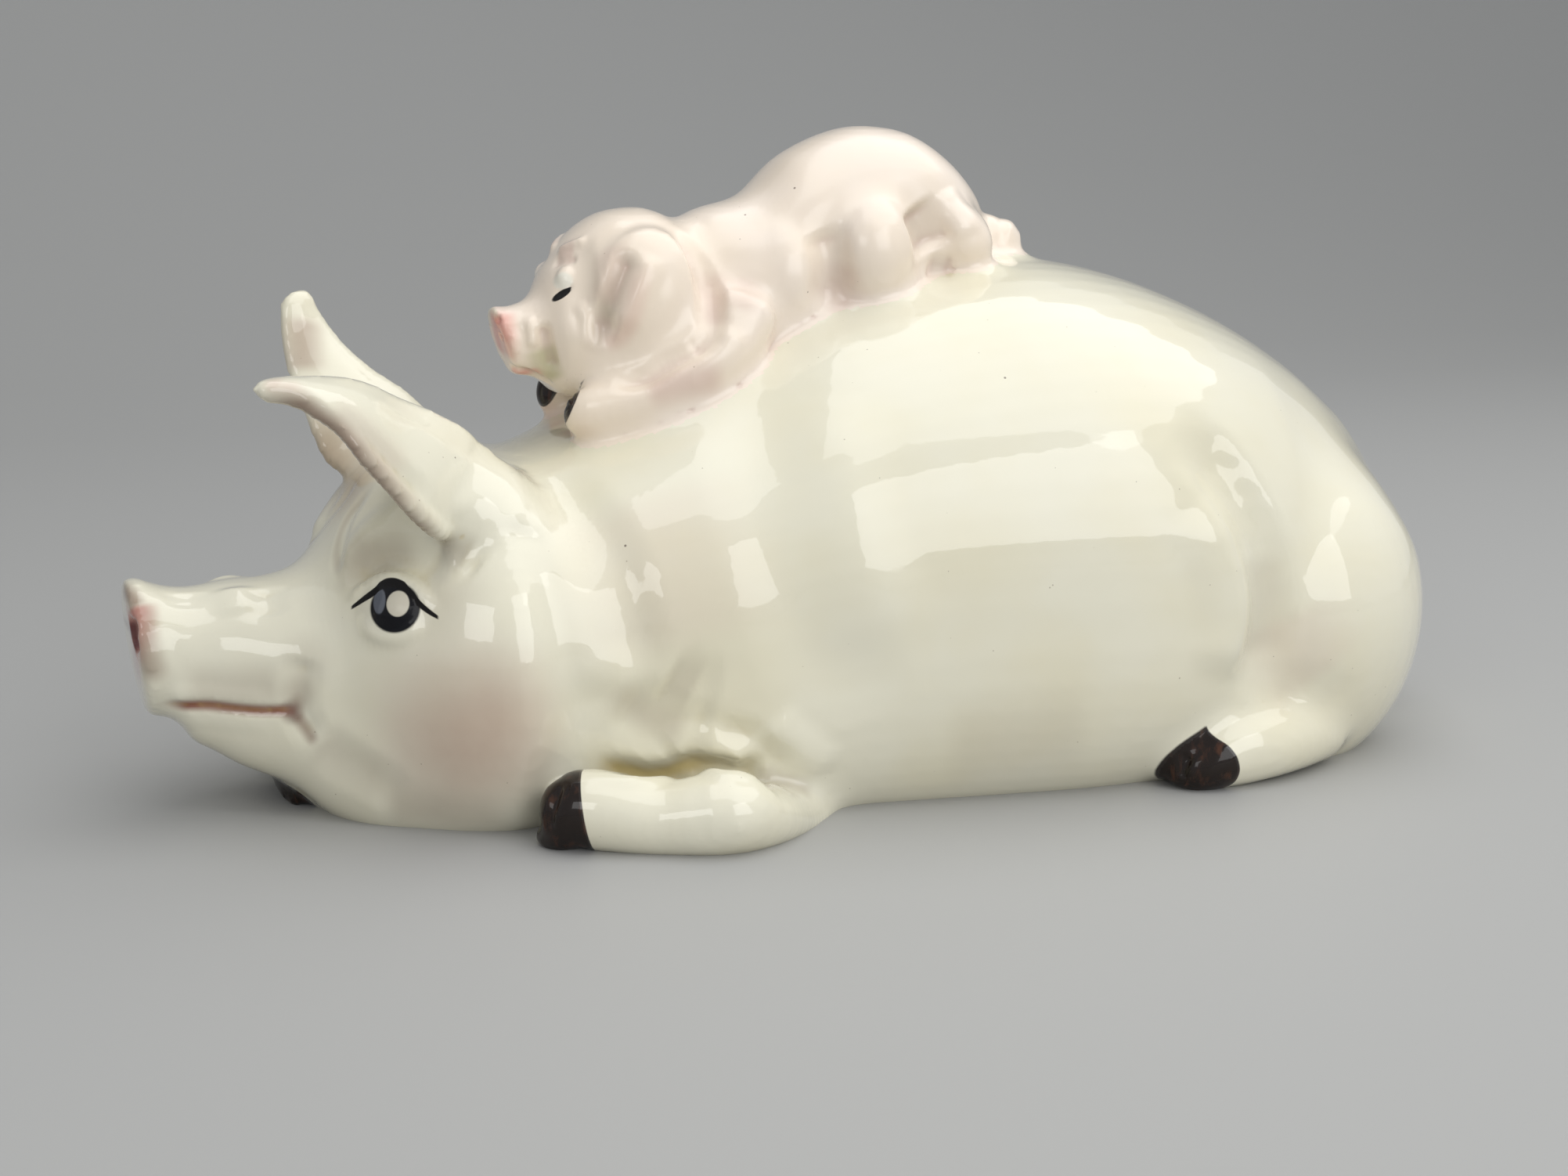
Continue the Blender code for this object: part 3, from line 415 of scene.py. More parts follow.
# Seams that are melted: the near ear's root, and the rear end of the near foreleg
EAR_ROOT = ((606, 690), (622, 655), (636, 622), (644, 592))
ELBOW_END = ((980, 1002), (1015, 1013), (1060, 1022))
BROW_FOLDS = (
    # the crease over the lid, and the brow's roll above it
    (((446, 752), (466, 722), (500, 708), (536, 718), (566, 750)), 5.4, 1.7),
    (((446, 740), (452, 710), (468, 686), (494, 668), (526, 670), (552, 698)), 6.5, -1.0),
    (((548, 700), (580, 712), (612, 728)), 6.5, 0.4),
    # the forehead's fold
    (((441, 742), (434, 705), (446, 662), (474, 622)), 3.0, 0.5),
    # wrinkles across the snout
    (((299, 750), (302, 766), (305, 785)), 5.0, -0.7),
    (((338, 752), (341, 768), (344, 790)), 4.5, 0.7),
    (((234, 758), (238, 778)), 5.0, 0.4),
)
MOUTH_LINE = ((208, 901), (235, 900), (265, 900), (300, 904), (335, 907), (362, 907), (382, 908))
MOUTH_CORNER = ((404, 952), (392, 928), (382, 908), (381, 882), (384, 856), (387, 838))
FACE_LINES = (
    (((212, 889), (250, 888), (300, 892), (350, 894)), 2.8, -0.35),
    (((212, 914), (250, 914), (300, 918), (350, 923)), 3.6, -0.3),
    (MOUTH_CORNER, 5.0, 0.8),
    (MOUTH_CORNER, 2.4, 0.25),
    (MOUTH_LINE, 1.6, 0.55),
    # upper and lower lids, and the eyeball
    (((444, 770), (470, 746), (500, 736), (528, 747), (558, 784)), 1.9, -0.7),
    (((460, 797), (486, 814), (514, 814), (542, 797)), 2.0, -0.45),
    (((500, 778),), 4.8, -0.5),
)
PIGLET_FOLDS = (
    # between shoulder and knee, and the knee itself
    (((1048, 290), (1060, 320), (1059, 350), (1046, 398)), 6.0, 1.5),
    (((1112, 318),), 11.0, -1.4),
    # the valley behind the knee, and the rear roll beyond it
    (((1166, 262), (1179, 290), (1190, 322)), 6.8, 2.3),
    (((1184, 336), (1200, 343), (1222, 341)), 3.8, 0.6),
    (((1206, 240), (1224, 270), (1240, 304)), 5.0, -0.7),
    # neck
    (((852, 290), (886, 326), (906, 375), (908, 425), (884, 449)), 3.8, 1.7),
    (((960, 345), (952, 390), (934, 430)), 5.0, 0.7),
    # over the foreleg
    (((908, 430), (882, 450), (856, 464), (826, 482), (780, 492)), 3.2, 1.5),
    # the ear's front edge and the fold in it
    (((738, 306), (741, 340), (745, 385), (752, 430)), 4.2, 0.8),
    (((808, 318), (798, 345), (786, 375), (772, 410), (762, 445)), 3.8, 1.7),
    (((828, 322), (818, 352), (806, 385), (790, 424)), 5.0, -0.9),
    # shoulder and cheek
    (((1000, 350),), 12.0, -1.4),
    (((735, 430),), 7.0, -0.6),
)
PIGLET_LINES = (
    (((712, 322), (730, 313), (750, 306)), 1.5, -0.6),
    (((706, 337), (722, 333), (738, 330)), 1.6, 0.5),
    (((708, 377), (720, 372), (733, 364)), 1.0, 0.3),
    (((738, 384), (750, 412), (752, 448)), 1.8, -0.45),
    (((673, 404), (681, 425), (681, 446)), 1.8, -0.7),
    (((690, 412), (697, 444), (706, 474)), 2.6, 1.1),
    (((652, 465), (668, 473), (690, 482), (706, 490)), 1.2, 0.7),
    (((720, 352),), 2.6, -0.8),
)

# The middles of the eyes, and the sow's lash line in pixels right and up from hers
EYE_PLACE = Vector((-91.8, -32.3, 41.5))
PIGLET_EYE_PLACE = Vector((-55.3, -13.3, 93.1))
LASH_LINE = (
    (-63, -1), (-45, 10), (-27, 21), (-19, 28), (-6, 32), (10, 29), (20, 21), (29, 11), (45, -3), (61, -13)
)

# Underglaze colours, and colours of painted shade, as shares of linear light
# brown of the mouth's painted lines, also sprayed as painted shade at the nose's rim and under the near
# ear's rim
BROWN_LINE_AND_SHADE = (0.20, 0.11, 0.07)
# taupe painted shade, sprayed into creases and hollows, under overhangs and low on the body
PAINTED_SHADE = (0.33, 0.27, 0.20)
BLUSH = (0.40, 0.23, 0.16)
MOUTH_RED = (0.21, 0.06, 0.035)
CORAL = (0.66, 0.22, 0.17)
# rose underglaze, also sprayed as painted shade on the sow's shoulder and haunch and on the piglet's knee
ROSE_AND_SHADE = (0.56, 0.38, 0.32)
OCHRE = (0.50, 0.39, 0.15)
OLIVE = (0.36, 0.35, 0.14)
HOOF_STREAK = (0.090, 0.034, 0.016)
MOUTH_DARK = (0.11, 0.04, 0.025)
NOSTRIL_DARK = (0.10, 0.012, 0.012)
LID_SHADE = (0.20, 0.16, 0.11)
# brown of an ear's hollow, darkened as painted shade
EAR_INSIDE_SHADE = (0.36, 0.27, 0.18)
EAR_SHADE = (0.40, 0.30, 0.23)
EAR_PINK = (0.62, 0.36, 0.30)
FINE_SPECK = (0.16, 0.10, 0.06)
IRON_SPECK = (0.06, 0.03, 0.02)

# Enamel of the eyes, and the painted highlight on the piglet's lids
EYE_GROUND = (0.78, 0.75, 0.64)
EYE_BLACK = (0.006, 0.006, 0.008)
EYE_GREY = (0.100, 0.110, 0.135)
EYE_GLEAM = (0.60, 0.56, 0.46)
LASH_BLACK = (0.007, 0.006, 0.006)
# the piglet's pale lids, a painted highlight on their bumps
PIGLET_LID_HIGHLIGHT = (0.82, 0.80, 0.70)
PIGLET_EYE_BLACK = (0.010, 0.009, 0.009)

# Sprays of underglaze and of painted shade: pixels, reach in millimetres, colour, strength
SOW_SPRAYS = (
    # the cheek's blush
    (((600, 925),), 21.0, BLUSH, 0.42),
    (((555, 985),), 17.0, BLUSH, 0.26),
    (((640, 965),), 16.0, BLUSH, 0.26),
    (((640, 893),), 12.0, BLUSH, 0.16),
    (((520, 905),), 14.0, BLUSH, 0.14),
    # painted shade round the mouth and along the jaw, and the mouth's painted lines
    (((230, 880), (300, 882), (370, 872)), 6.5, PAINTED_SHADE, 0.34),
    (((391, 845),), 7.0, PAINTED_SHADE, 0.22),
    (((383, 885),), 4.5, PAINTED_SHADE, 0.5),
    (((380, 896),), 2.2, BROWN_LINE_AND_SHADE, 0.35),
    (((376, 911), (389, 928), (404, 952)), 1.9, BROWN_LINE_AND_SHADE, 0.65),
    (((373, 909),), 3.0, MOUTH_DARK, 0.8),
    (((402, 945), (440, 972), (500, 1005)), 8.0, PAINTED_SHADE, 0.28),
    (((480, 1025), (560, 1035), (660, 1040)), 8.0, PAINTED_SHADE, 0.35),
    (MOUTH_LINE, 1.7, MOUTH_RED, 1.0),
    # painted shade over and behind the eye, and under the near ear's root
    (((470, 716),), 7.0, PAINTED_SHADE, 0.45),
    (((505, 708),), 7.0, PAINTED_SHADE, 0.40),
    (((570, 765),), 10.0, PAINTED_SHADE, 0.25),
    (((560, 694), (580, 702), (600, 714)), 5.0, LID_SHADE, 0.5),
    (((440, 760), (450, 720), (470, 680)), 5.0, PAINTED_SHADE, 0.2),
    # painted shade behind the nose's rim
    (((176, 765), (180, 800), (188, 840), (200, 876)), 4.2, BROWN_LINE_AND_SHADE, 0.6),
    # painted shade in the forehead's fold
    (((436, 740), (430, 705), (444, 662), (474, 624)), 1.6, PAINTED_SHADE, 0.4),
    # painted shade on the shoulder, over the hind foot, in the haunch's crease and low on the belly
    (((820, 620), (850, 720), (880, 840)), 24.0, ROSE_AND_SHADE, 0.16),
    (((1640, 780), (1660, 830), (1690, 870)), 15.0, ROSE_AND_SHADE, 0.2),
    (((1605, 700), (1618, 770), (1608, 840)), 6.0, PAINTED_SHADE, 0.20),
    (((1400, 930), (1200, 960)), 14.0, PAINTED_SHADE, 0.16),
)
NEAR_EAR_SPRAYS = (
    (((316, 492), (350, 490), (392, 494)), 2.4, ROSE_AND_SHADE, 0.45),
    (((420, 520), (470, 560), (520, 610)), 5.0, ROSE_AND_SHADE, 0.2),
)
FAR_EAR_SPRAYS = (
    # the far ear's hollow inside, brown and darkened as painted shade, and painted shade along its edge
    (((395, 545), (412, 575), (432, 612)), 12.0, EAR_INSIDE_SHADE, 0.85),
    (((388, 400), (386, 440), (388, 478)), 6.0, EAR_SHADE, 0.7),
)
# The brown along the near ear's lower rim, underglaze with painted shade under the rolled rim: its reach
# and strength
EAR_RIM_REACH = 3.6
EAR_RIM_STRENGTH = 0.8
# The noses' faces in the colours of their glazes: pixels, reach and strength
NOSE_FACE = (
    (((153, 770), (156, 800), (160, 830), (172, 862)), 5.5, 0.95),
    (((160, 768), (166, 800), (172, 840), (182, 872)), 3.2, 0.8),
)
PIGLET_NOSE_FACE = (
    (((634, 400), (634, 425), (642, 455)), 4.0, 0.8),
    (((640, 395), (644, 430), (650, 460)), 3.5, 0.6),
)
# Pressed in near the ends: the nostrils, and the clefts of the hooves
NOSTRILS = (
    (((157, 790), (158, 810), (161, 828)), 2.0, 2.0),
    (((169, 792), (171, 812), (175, 834)), 2.0, 2.0),
    (((636, 408),), 1.0, 0.8),
    (((640, 430),), 1.0, 0.8),
)
CLEFTS = (
    (((718, 1000), (706, 1030), (702, 1062)), 1.6, 0.7),
    (((1520, 962), (1512, 980), (1510, 996)), 1.6, 0.7),
    (((737, 500), (727, 517), (717, 532)), 0.8, 0.35),
)
NOSTRIL_SPRAYS = (
    (((157, 788), (158, 810), (161, 830)), 2.0, NOSTRIL_DARK, 0.95),
    (((169, 790), (171, 812), (175, 836)), 2.0, NOSTRIL_DARK, 0.95),
    # painted shade under the top of the nose's rim
    (((156, 752), (166, 762), (176, 775)), 2.6, BROWN_LINE_AND_SHADE, 0.7),
)
ARM_SPRAYS = (
    (((760, 972), (790, 980), (822, 988), (850, 986), (880, 978), (930, 975)), 3.0, OCHRE, 0.85),
    # painted shade in the crease behind the near foreleg and in the shoulder's folds above it
    (((960, 985), (1000, 1000), (1040, 1014)), 3.0, PAINTED_SHADE, 0.4),
    (((780, 880), (830, 915), (880, 935)), 5.0, PAINTED_SHADE, 0.35),
    (((850, 865), (890, 880)), 8.0, PAINTED_SHADE, 0.3),
)
PIGLET_SPRAYS = (
    # painted shade in the fold of the ear
    (((806, 322), (794, 352), (780, 385), (768, 420), (758, 455)), 2.8, PAINTED_SHADE, 0.5),
    (((780, 310), (784, 350), (774, 395)), 5.2, ROSE_AND_SHADE, 0.3),
    (((826, 332), (800, 420), (766, 440)), 3.0, EAR_PINK, 0.35),
    # painted shade on the knee's shaded side, in the valley behind it and at the valley's foot
    (((1080, 330), (1080, 370), (1088, 395)), 5.5, ROSE_AND_SHADE, 0.3),
    (((1164, 262), (1186, 316)), 6.0, PAINTED_SHADE, 0.35),
    (((1186, 338), (1215, 342)), 3.4, PAINTED_SHADE, 0.35),
    (((1075, 300), (1072, 345), (1062, 390)), 6.0, PAINTED_SHADE, 0.12),
    (((912, 340), (918, 385), (912, 420)), 4.0, ROSE_AND_SHADE, 0.35),
    (((958, 350), (945, 400)), 5.0, ROSE_AND_SHADE, 0.3),
    (((820, 500), (870, 490), (930, 480)), 5.0, ROSE_AND_SHADE, 0.5),
    (((720, 548), (760, 540)), 4.0, ROSE_AND_SHADE, 0.5),
    (((690, 440), (700, 465), (712, 488)), 4.6, OLIVE, 0.6),
    (((712, 325), (735, 322)), 4.0, ROSE_AND_SHADE, 0.5),
    (((652, 468), (668, 477), (686, 486)), 1.6, CORAL, 0.7),
    (((640, 400), (650, 440)), 3.2, CORAL, 0.25),
)


def camera_axes():
    """Where the photograph was taken from, in metres, with its view, right and up directions."""
    azimuth, elevation = math.radians(CAMERA_AZIMUTH), math.radians(CAMERA_ELEVATION)
    toward = Vector((
        math.sin(azimuth) * math.cos(elevation),
        -math.cos(azimuth) * math.cos(elevation),
        math.sin(elevation),
    ))
    right = (-toward).cross(Vector((0.0, 0.0, 1.0))).normalized()
    return CAMERA_TARGET + toward * CAMERA_DISTANCE, -toward, right, right.cross(-toward)


def sight(pixel):
    """The camera's place in millimetres and its line of sight through a pixel of the photograph."""
    place, ahead, right, up = camera_axes()
    across = (pixel[0] - 0.5 * PHOTO_WIDTH) / CAMERA_FOCUS_PIXELS
    rise = (0.5 * PHOTO_HEIGHT - pixel[1]) / CAMERA_FOCUS_PIXELS
    return place / MM, (ahead + right * across + up * rise).normalized()


def seen(pixel, y):
    """The point under a pixel, on the upright plane along the figurine at a distance Y."""
    place, line = sight(pixel)
    return place + line * ((y - place.y) / line.y)


def between(rows, at):
    """Smooth values between rows whose first number is the station."""
    index = 0
    while index < len(rows) - 2 and at > rows[index + 1][0]:
        index += 1
    left, right = rows[index], rows[index + 1]
    earlier, later = rows[max(index - 1, 0)], rows[min(index + 2, len(rows) - 1)]
    span = right[0] - left[0]
    t = (at - left[0]) / span
    values = []
    for k in range(1, len(left)):
        leave = (right[k] - earlier[k]) / (right[0] - earlier[0]) * span
        arrive = (later[k] - left[k]) / (later[0] - left[0]) * span
        values.append(
            left[k] * (2 * t**3 - 3 * t**2 + 1)
            + leave * (t**3 - 2 * t**2 + t)
            + right[k] * (3 * t**2 - 2 * t**3)
            + arrive * (t**3 - t**2)
        )
    return values


def signed_power(value, power):
    """A power of a value's size, with the value's sign."""
    return math.copysign(abs(value) ** power, value)


def dome(distance, radius):
    """Share of the full section that is left at a distance from a rounded end."""
    if radius <= 0.0 or distance >= radius:
        return 1.0
    return math.sqrt(max(0.0, 1.0 - (1.0 - distance / radius) ** 2))


class Form:
    """A body lofted along X through upright sections: X, half-width, top, widest, bottom."""

    def __init__(self, rows, rear_round=0.0, lean=0.0, lean_length=1.0):
        self.rows = rows
        self.front = rows[0][0]
        self.rear = rows[-1][0]
        self.rear_round = rear_round
        self.lean = lean
        self.lean_length = lean_length

    def section(self, x):
        """Half-width, top, widest point and bottom at a station, closing in to the rounded rear."""
        width, top, widest, bottom = between(self.rows, min(max(x, self.front), self.rear))
        share = dome(self.rear - x, self.rear_round)
        return width * share, widest + (top - widest) * share, widest, widest + (bottom - widest) * share

    def point(self, x, angle):
        """The skin's point at a station and an angle round it, leaning at the front."""
        width, top, widest, bottom = self.section(x)
        lift = math.sin(angle)
        power = UPPER_POWER if lift >= 0.0 else LOWER_POWER
        reach = top - widest if lift >= 0.0 else widest - bottom
        rise = reach * signed_power(lift, 2.0 / power)
        across = width * signed_power(math.cos(angle), 2.0 / power)
        fade = max(0.0, 1.0 - (x - self.front) / self.lean_length)
        return Vector((x - fade * self.lean * rise, across, widest + rise))

    def top_at(self, x, y=0.0):
        """Height of the upper surface over a point of the plan."""
        width, top, widest, _bottom = self.section(x)
        share = min(abs(y) / width, 0.999)
        return widest + (top - widest) * (1.0 - share**UPPER_POWER) ** (1.0 / UPPER_POWER)

    def beyond(self, places):
        """How far places lie outside the sections, negative within and large past either end."""
        stations = np.linspace(self.front, self.rear, 200)
        rows = np.array([self.section(x) for x in stations])
        width, top, widest, bottom = (np.interp(places[:, 0], stations, row) for row in rows.T)
        rise = places[:, 2] - widest
        power = np.where(rise > 0.0, UPPER_POWER, LOWER_POWER)
        reach = np.where(rise > 0.0, top - widest, widest - bottom)
        share = (np.abs(places[:, 1]) / np.maximum(width, 1e-6)) ** power
        share += (np.abs(rise) / np.maximum(reach, 1e-6)) ** power
        gap = np.hypot(places[:, 1], rise) * (1.0 - share ** (-1.0 / power))
        return np.where((places[:, 0] < self.front) | (places[:, 0] > self.rear), FAR, gap)

    def skin(self, count=80, sides=72):
        """The closed skin, its rings closer together towards a rounded rear."""
        rings = [lambda _angle: Vector((self.front, 0.0, self.section(self.front)[2]))]
        for k in range(count + 1):
            t = k / count
            if self.rear_round:
                t = math.sin(0.5 * math.pi * min(t, 0.995))
            x = self.front + (self.rear - self.front) * t
            rings.append(lambda angle, x=x: self.point(x, angle))
        rings.append(lambda _angle: Vector((self.rear, 0.0, self.section(self.rear)[2])))
        return wrapped(rings, sides)


def wrapped(rings, sides):
    """A closed skin whose rings, pole to pole, lie where the ring functions put them."""
    last = len(rings) - 1
    bm = bmesh.new()
    bmesh.ops.create_uvsphere(bm, u_segments=sides, v_segments=last, radius=1.0)
    for vertex in bm.verts:
        ring = round(math.acos(max(-1.0, min(1.0, vertex.co.z))) / math.pi * last)
        vertex.co = rings[ring](math.atan2(vertex.co.y, vertex.co.x))
    bmesh.ops.recalc_face_normals(bm, faces=bm.faces[:])
    return bm


def limb(rows, sides=28, steps=40, tip_start=0.12, tip_end=0.12):
    """A tapering limb through rows of station, X, Y, Z, half-width and half-height."""
    stops = [0.5 - 0.5 * math.cos(math.pi * k / steps) for k in range(steps + 1)]
    rings = []
    side = None
    for at in stops:
        x, y, z, wide, tall = between(rows, at)
        share = dome(1.0 - at, tip_end) * dome(at, tip_start)
        ahead = Vector(between(rows, min(at + 0.01, 1.0))[:3])
        behind = Vector(between(rows, max(at - 0.01, 0.0))[:3])
        along = (ahead - behind).normalized()
        if side is None:
            side = along.cross(Vector((0.0, 0.0, 1.0))).normalized()
        side = (side - along * side.dot(along)).normalized()
        up = side.cross(along)
        across = side * wide * share
        lift = up * tall * share
        centre = Vector((x, y, z))
        rings.append(oblique(centre, across, lift))
    return wrapped(rings, sides)


def oblique(centre, across, lift):
    """An ellipse as a function of the angle round it."""
    return lambda angle: centre + across * math.cos(angle) + lift * math.sin(angle)


def ellipsoid(centre, radii, segments=48, rings=32):
    """A closed ellipsoid."""
    bm = bmesh.new()
    bmesh.ops.create_uvsphere(bm, u_segments=segments, v_segments=rings, radius=1.0)
    bmesh.ops.scale(bm, vec=radii, verts=bm.verts[:])
    bmesh.ops.translate(bm, vec=centre, verts=bm.verts[:])
    return bm


def ear(rows, steps=48, sides=48):
    """A cupped sheet with rounded rims, through rows of lower rim, crest and inner rim."""
    crown = Vector((NECK_X, 0.0, CROWN_HEIGHT))
    flat = []
    for k, (low, crest, inner, thick) in enumerate(rows):
        flat.append((k / (len(rows) - 1), *low, *crest, *inner, thick))

    def place(at, across):
        """The middle of the sheet, across it from the lower rim at -1 to the inner rim at 1."""
        values = between(flat, at)
        low, crest, inner = Vector(values[0:3]), Vector(values[3:6]), Vector(values[6:9])
        pull = crest * 2.0 - (low + inner) * 0.5
        t = 0.5 + 0.5 * across
        return crown + low * (1 - t) ** 2 + pull * 2 * t * (1 - t) + inner * t**2

    def ring(at):
        """The rounded section of the sheet at a share of its length."""
        thick = between(flat, at)[9] * dome(1.0 - at, EAR_TIP_THINNING)
        share = dome(1.0 - at, EAR_TIP_NARROWING)

        def point(angle):
            across = signed_power(math.cos(angle), EAR_RIM_POWER) * share
            height = signed_power(math.sin(angle), EAR_RIM_POWER)
            along = place(min(at + 0.02, 1.0), across) - place(max(at - 0.02, 0.0), across)
            sideways = place(at, min(across + 0.05, 1.0)) - place(at, max(across - 0.05, -1.0))
            return place(at, across) + along.cross(sideways).normalized() * thick * height

        return point

    return wrapped([ring(0.5 - 0.5 * math.cos(math.pi * k / steps)) for k in range(steps + 1)], sides)


def neck_row():
    """The section where the head meets the trunk."""
    return NECK_X, NECK_HALF_WIDTH, NECK_HEIGHT, NECK_WIDEST, NECK_WIDEST * (1.0 - UNDERCUT)


def trunk_form():
    """The sow's body, from the neck to the rounded rump."""
    length = RUMP_X - NECK_X
    rows = [neck_row()]
    for at, width, top, widest in TRUNK_PROFILE:
        x, middle = NECK_X + at * length, widest * BACK_HEIGHT
        rows.append((x, width * TRUNK_HALF_WIDTH, top * BACK_HEIGHT, middle, middle * (1.0 - UNDERCUT)))
    return Form(rows, rear_round=RUMP_ROUND)


def head_form():
    """The sow's head, from the nose to inside the neck."""
    length = NECK_X - SNOUT_X
    rows = []
    for profile, half_width, height in (
        (SNOUT_PROFILE, SNOUT_HALF_WIDTH, SNOUT_HEIGHT),
        (CHEEK_PROFILE, CHEEK_HALF_WIDTH, CROWN_HEIGHT),
    ):
        for at, width, *heights in profile:
            rows.append((SNOUT_X + at * length, width * half_width, *(h * height for h in heights)))
    rows.append(neck_row())
    inner = (NECK_HALF_WIDTH - NECK_LAP_INSET, NECK_HEIGHT - NECK_LAP_INSET, NECK_WIDEST, NECK_LAP_BOTTOM)
    rows.append((NECK_X + NECK_LAP, *inner))
    return Form(rows, lean=NOSE_LEAN, lean_length=NOSE_LEAN_LENGTH)


def piglet_body_form(trunk):
    """The piglet's body, seated along the sow's back."""
    length = PIGLET_REAR_X - PIGLET_FRONT_X
    rows = []
    for at, width, rise in PIGLET_PROFILE:
        x = PIGLET_FRONT_X + at * length
        seat = trunk.top_at(x)
        lift = rise * PIGLET_RISE
        heights = (seat + lift, seat + PIGLET_WIDEST * lift, seat - PIGLET_SUNK * lift)
        rows.append((x, width * PIGLET_HALF_WIDTH, *heights))
    return Form(rows, rear_round=PIGLET_RUMP_ROUND)


def piglet_head_form(trunk):
    """The piglet's head, seated on the sow's neck."""
    length = PIGLET_NAPE_X - PIGLET_NOSE_X
    seat = trunk.top_at(PIGLET_HEAD_SEAT_X)
    rows = []
    for at, width, *heights in PIGLET_HEAD_PROFILE:
        levels = (seat + h * PIGLET_HEAD_RISE for h in heights)
        rows.append((PIGLET_NOSE_X + at * length, width * PIGLET_HEAD_HALF_WIDTH, *levels))
    return Form(rows, PIGLET_NAPE_ROUND, PIGLET_NOSE_LEAN, PIGLET_NOSE_LEAN_LENGTH)


def leg_rows(path, side, start_x, trunk):
    """A leg of the sow beside her body, in the frame's axes."""
    rows = []
    for at, behind, out, z, wide, tall in path:
        x = start_x + behind
        rows.append((at, x, side * (trunk.section(x)[0] + out), z, wide, tall))
    return rows


def piglet_leg_rows(path, side, trunk, short=0.0):
    """A leg of the piglet on the sow's back, drawn back at its end where it is shorter."""
    return [
        (at, x + short * at**3, side * y, trunk.top_at(x, y) + rise, wide, tall)
        for at, x, y, rise, wide, tall in path
    ]


def nose_disc(form, half_thickness, rim):
    """The rounded disc at the end of a snout, in the plane of its lean."""
    width, top, widest, bottom = form.section(form.front)
    middle = 0.5 * (top + bottom)
    bm = ellipsoid((0.0, 0.0, 0.0), (1.0, 1.0, 1.0), 48, 24)
    for vertex in bm.verts:
        x, y, z = vertex.co
        radius = math.hypot(y, z)
        spread = signed_power(radius, NOSE_OUTLINE_POWER) / max(radius, 1e-6)
        y, z = y * spread * (width + rim), z * spread * (0.5 * (top - bottom) + rim)
        x = signed_power(x, NOSE_FACE_POWER) * half_thickness
        slant = form.lean * (middle + z - widest)
        vertex.co = (form.front - half_thickness + x - slant, y, middle + z)
    return bm


def sow_tail_rows(trunk, points=20):
    """The curl of the tail, flat on the rump and thinner towards its tip."""
    rows = []
    for k in range(points + 1):
        t = k / points
        angle = math.tau * TAIL_TURNS * t
        radius = TAIL_CURL * (1.0 - 0.5 * t)
        y = radius * math.sin(angle)
        z = TAIL_HEIGHT + radius * math.cos(angle)
        x = rear_surface(trunk, y, z) + TAIL_RISE * (0.4 + 0.9 * t)
        wide = TAIL_HALF_WIDTH * (1.0 - 0.4 * t)
        rows.append((t, x, y, z, wide, wide))
    return rows


def rear_surface(trunk, y, z):
    """X of the trunk's rear surface at a point seen from behind."""
    near, far = 0.5 * (trunk.front + trunk.rear), trunk.rear
    for _step in range(30):
        middle = 0.5 * (near + far)
        width, top, widest, _bottom = trunk.section(middle)
        inside = (abs(y) / max(width, 1e-6)) ** UPPER_POWER
        inside += (abs(z - widest) / max(top - widest, 1e-6)) ** UPPER_POWER
        near, far = (middle, far) if inside < 1.0 else (near, middle)
    return near


def piglet_tail_rows(trunk):
    """A stubby tail whose tight curl shows as ridges round it."""
    rows = []
    steps = 12 * PIGLET_TAIL_RIDGES
    for k in range(steps + 1):
        t = k / steps
        x = PIGLET_REAR_X - PIGLET_TAIL_LAP + PIGLET_TAIL_LENGTH * t
        ridge = 1.0 + PIGLET_TAIL_RIDGE * math.cos(math.tau * PIGLET_TAIL_RIDGES * t)
        radius = PIGLET_TAIL_RADIUS * (1.0 - 0.25 * t) * ridge
        lift = PIGLET_TAIL_LIFT - PIGLET_TAIL_DROP * t
        rows.append((t, x, PIGLET_TAIL_TURN * t, trunk.top_at(x) + lift, radius, radius))
    return rows


def sow_forms(trunk):
    """Every form of the sow before they are fused."""
    head = head_form()
    forms = [trunk.skin(), head.skin(), nose_disc(head, NOSE_HALF_THICKNESS, NOSE_RIM)]
    forms += [ear(LEFT_EAR_ROWS), ear(RIGHT_EAR_ROWS)]
    for side, path in ((-1, LEFT_FORELEG_PATH), (1, RIGHT_FORELEG_PATH)):
        forms.append(limb(leg_rows(path, side, NECK_X, trunk), tip_end=0.18))
    for side in (-1, 1):
        y = side * (trunk.section(HAUNCH_MIDDLE.x)[0] + HAUNCH_PROUD - HAUNCH_RADII.y)
        forms.append(ellipsoid((HAUNCH_MIDDLE.x, y, HAUNCH_MIDDLE.z), HAUNCH_RADII))
        forms.append(limb(leg_rows(HIND_FOOT_PATH, side, HAUNCH_MIDDLE.x, trunk)))
    forms.append(limb(sow_tail_rows(trunk), sides=16, steps=60, tip_start=0.04, tip_end=0.04))
    return forms


def piglet_forms(trunk):
    """Every form of the piglet before they are fused."""
    head = piglet_head_form(trunk)
    nose = nose_disc(head, PIGLET_NOSE_HALF_THICKNESS, PIGLET_NOSE_RIM)
    forms = [piglet_body_form(trunk).skin(), head.skin(), nose]
    for side, short in ((-1, 0.0), (1, PIGLET_SHORTER_FORELEG)):
        for pixel, y, radii in PIGLET_BALLS:
            middle = seen(pixel, -y)
            forms.append(ellipsoid((middle.x, side * y, middle.z), radii))
        forms.append(limb(piglet_leg_rows(PIGLET_FORELEG_PATH, side, trunk, short)))
        forms.append(limb(piglet_leg_rows(PIGLET_HIND_LEG_PATH, side, trunk), tip_start=0.16, tip_end=0.26))
    forms.append(limb(piglet_tail_rows(trunk), sides=20, steps=96, tip_start=0.06, tip_end=0.22))
    return forms


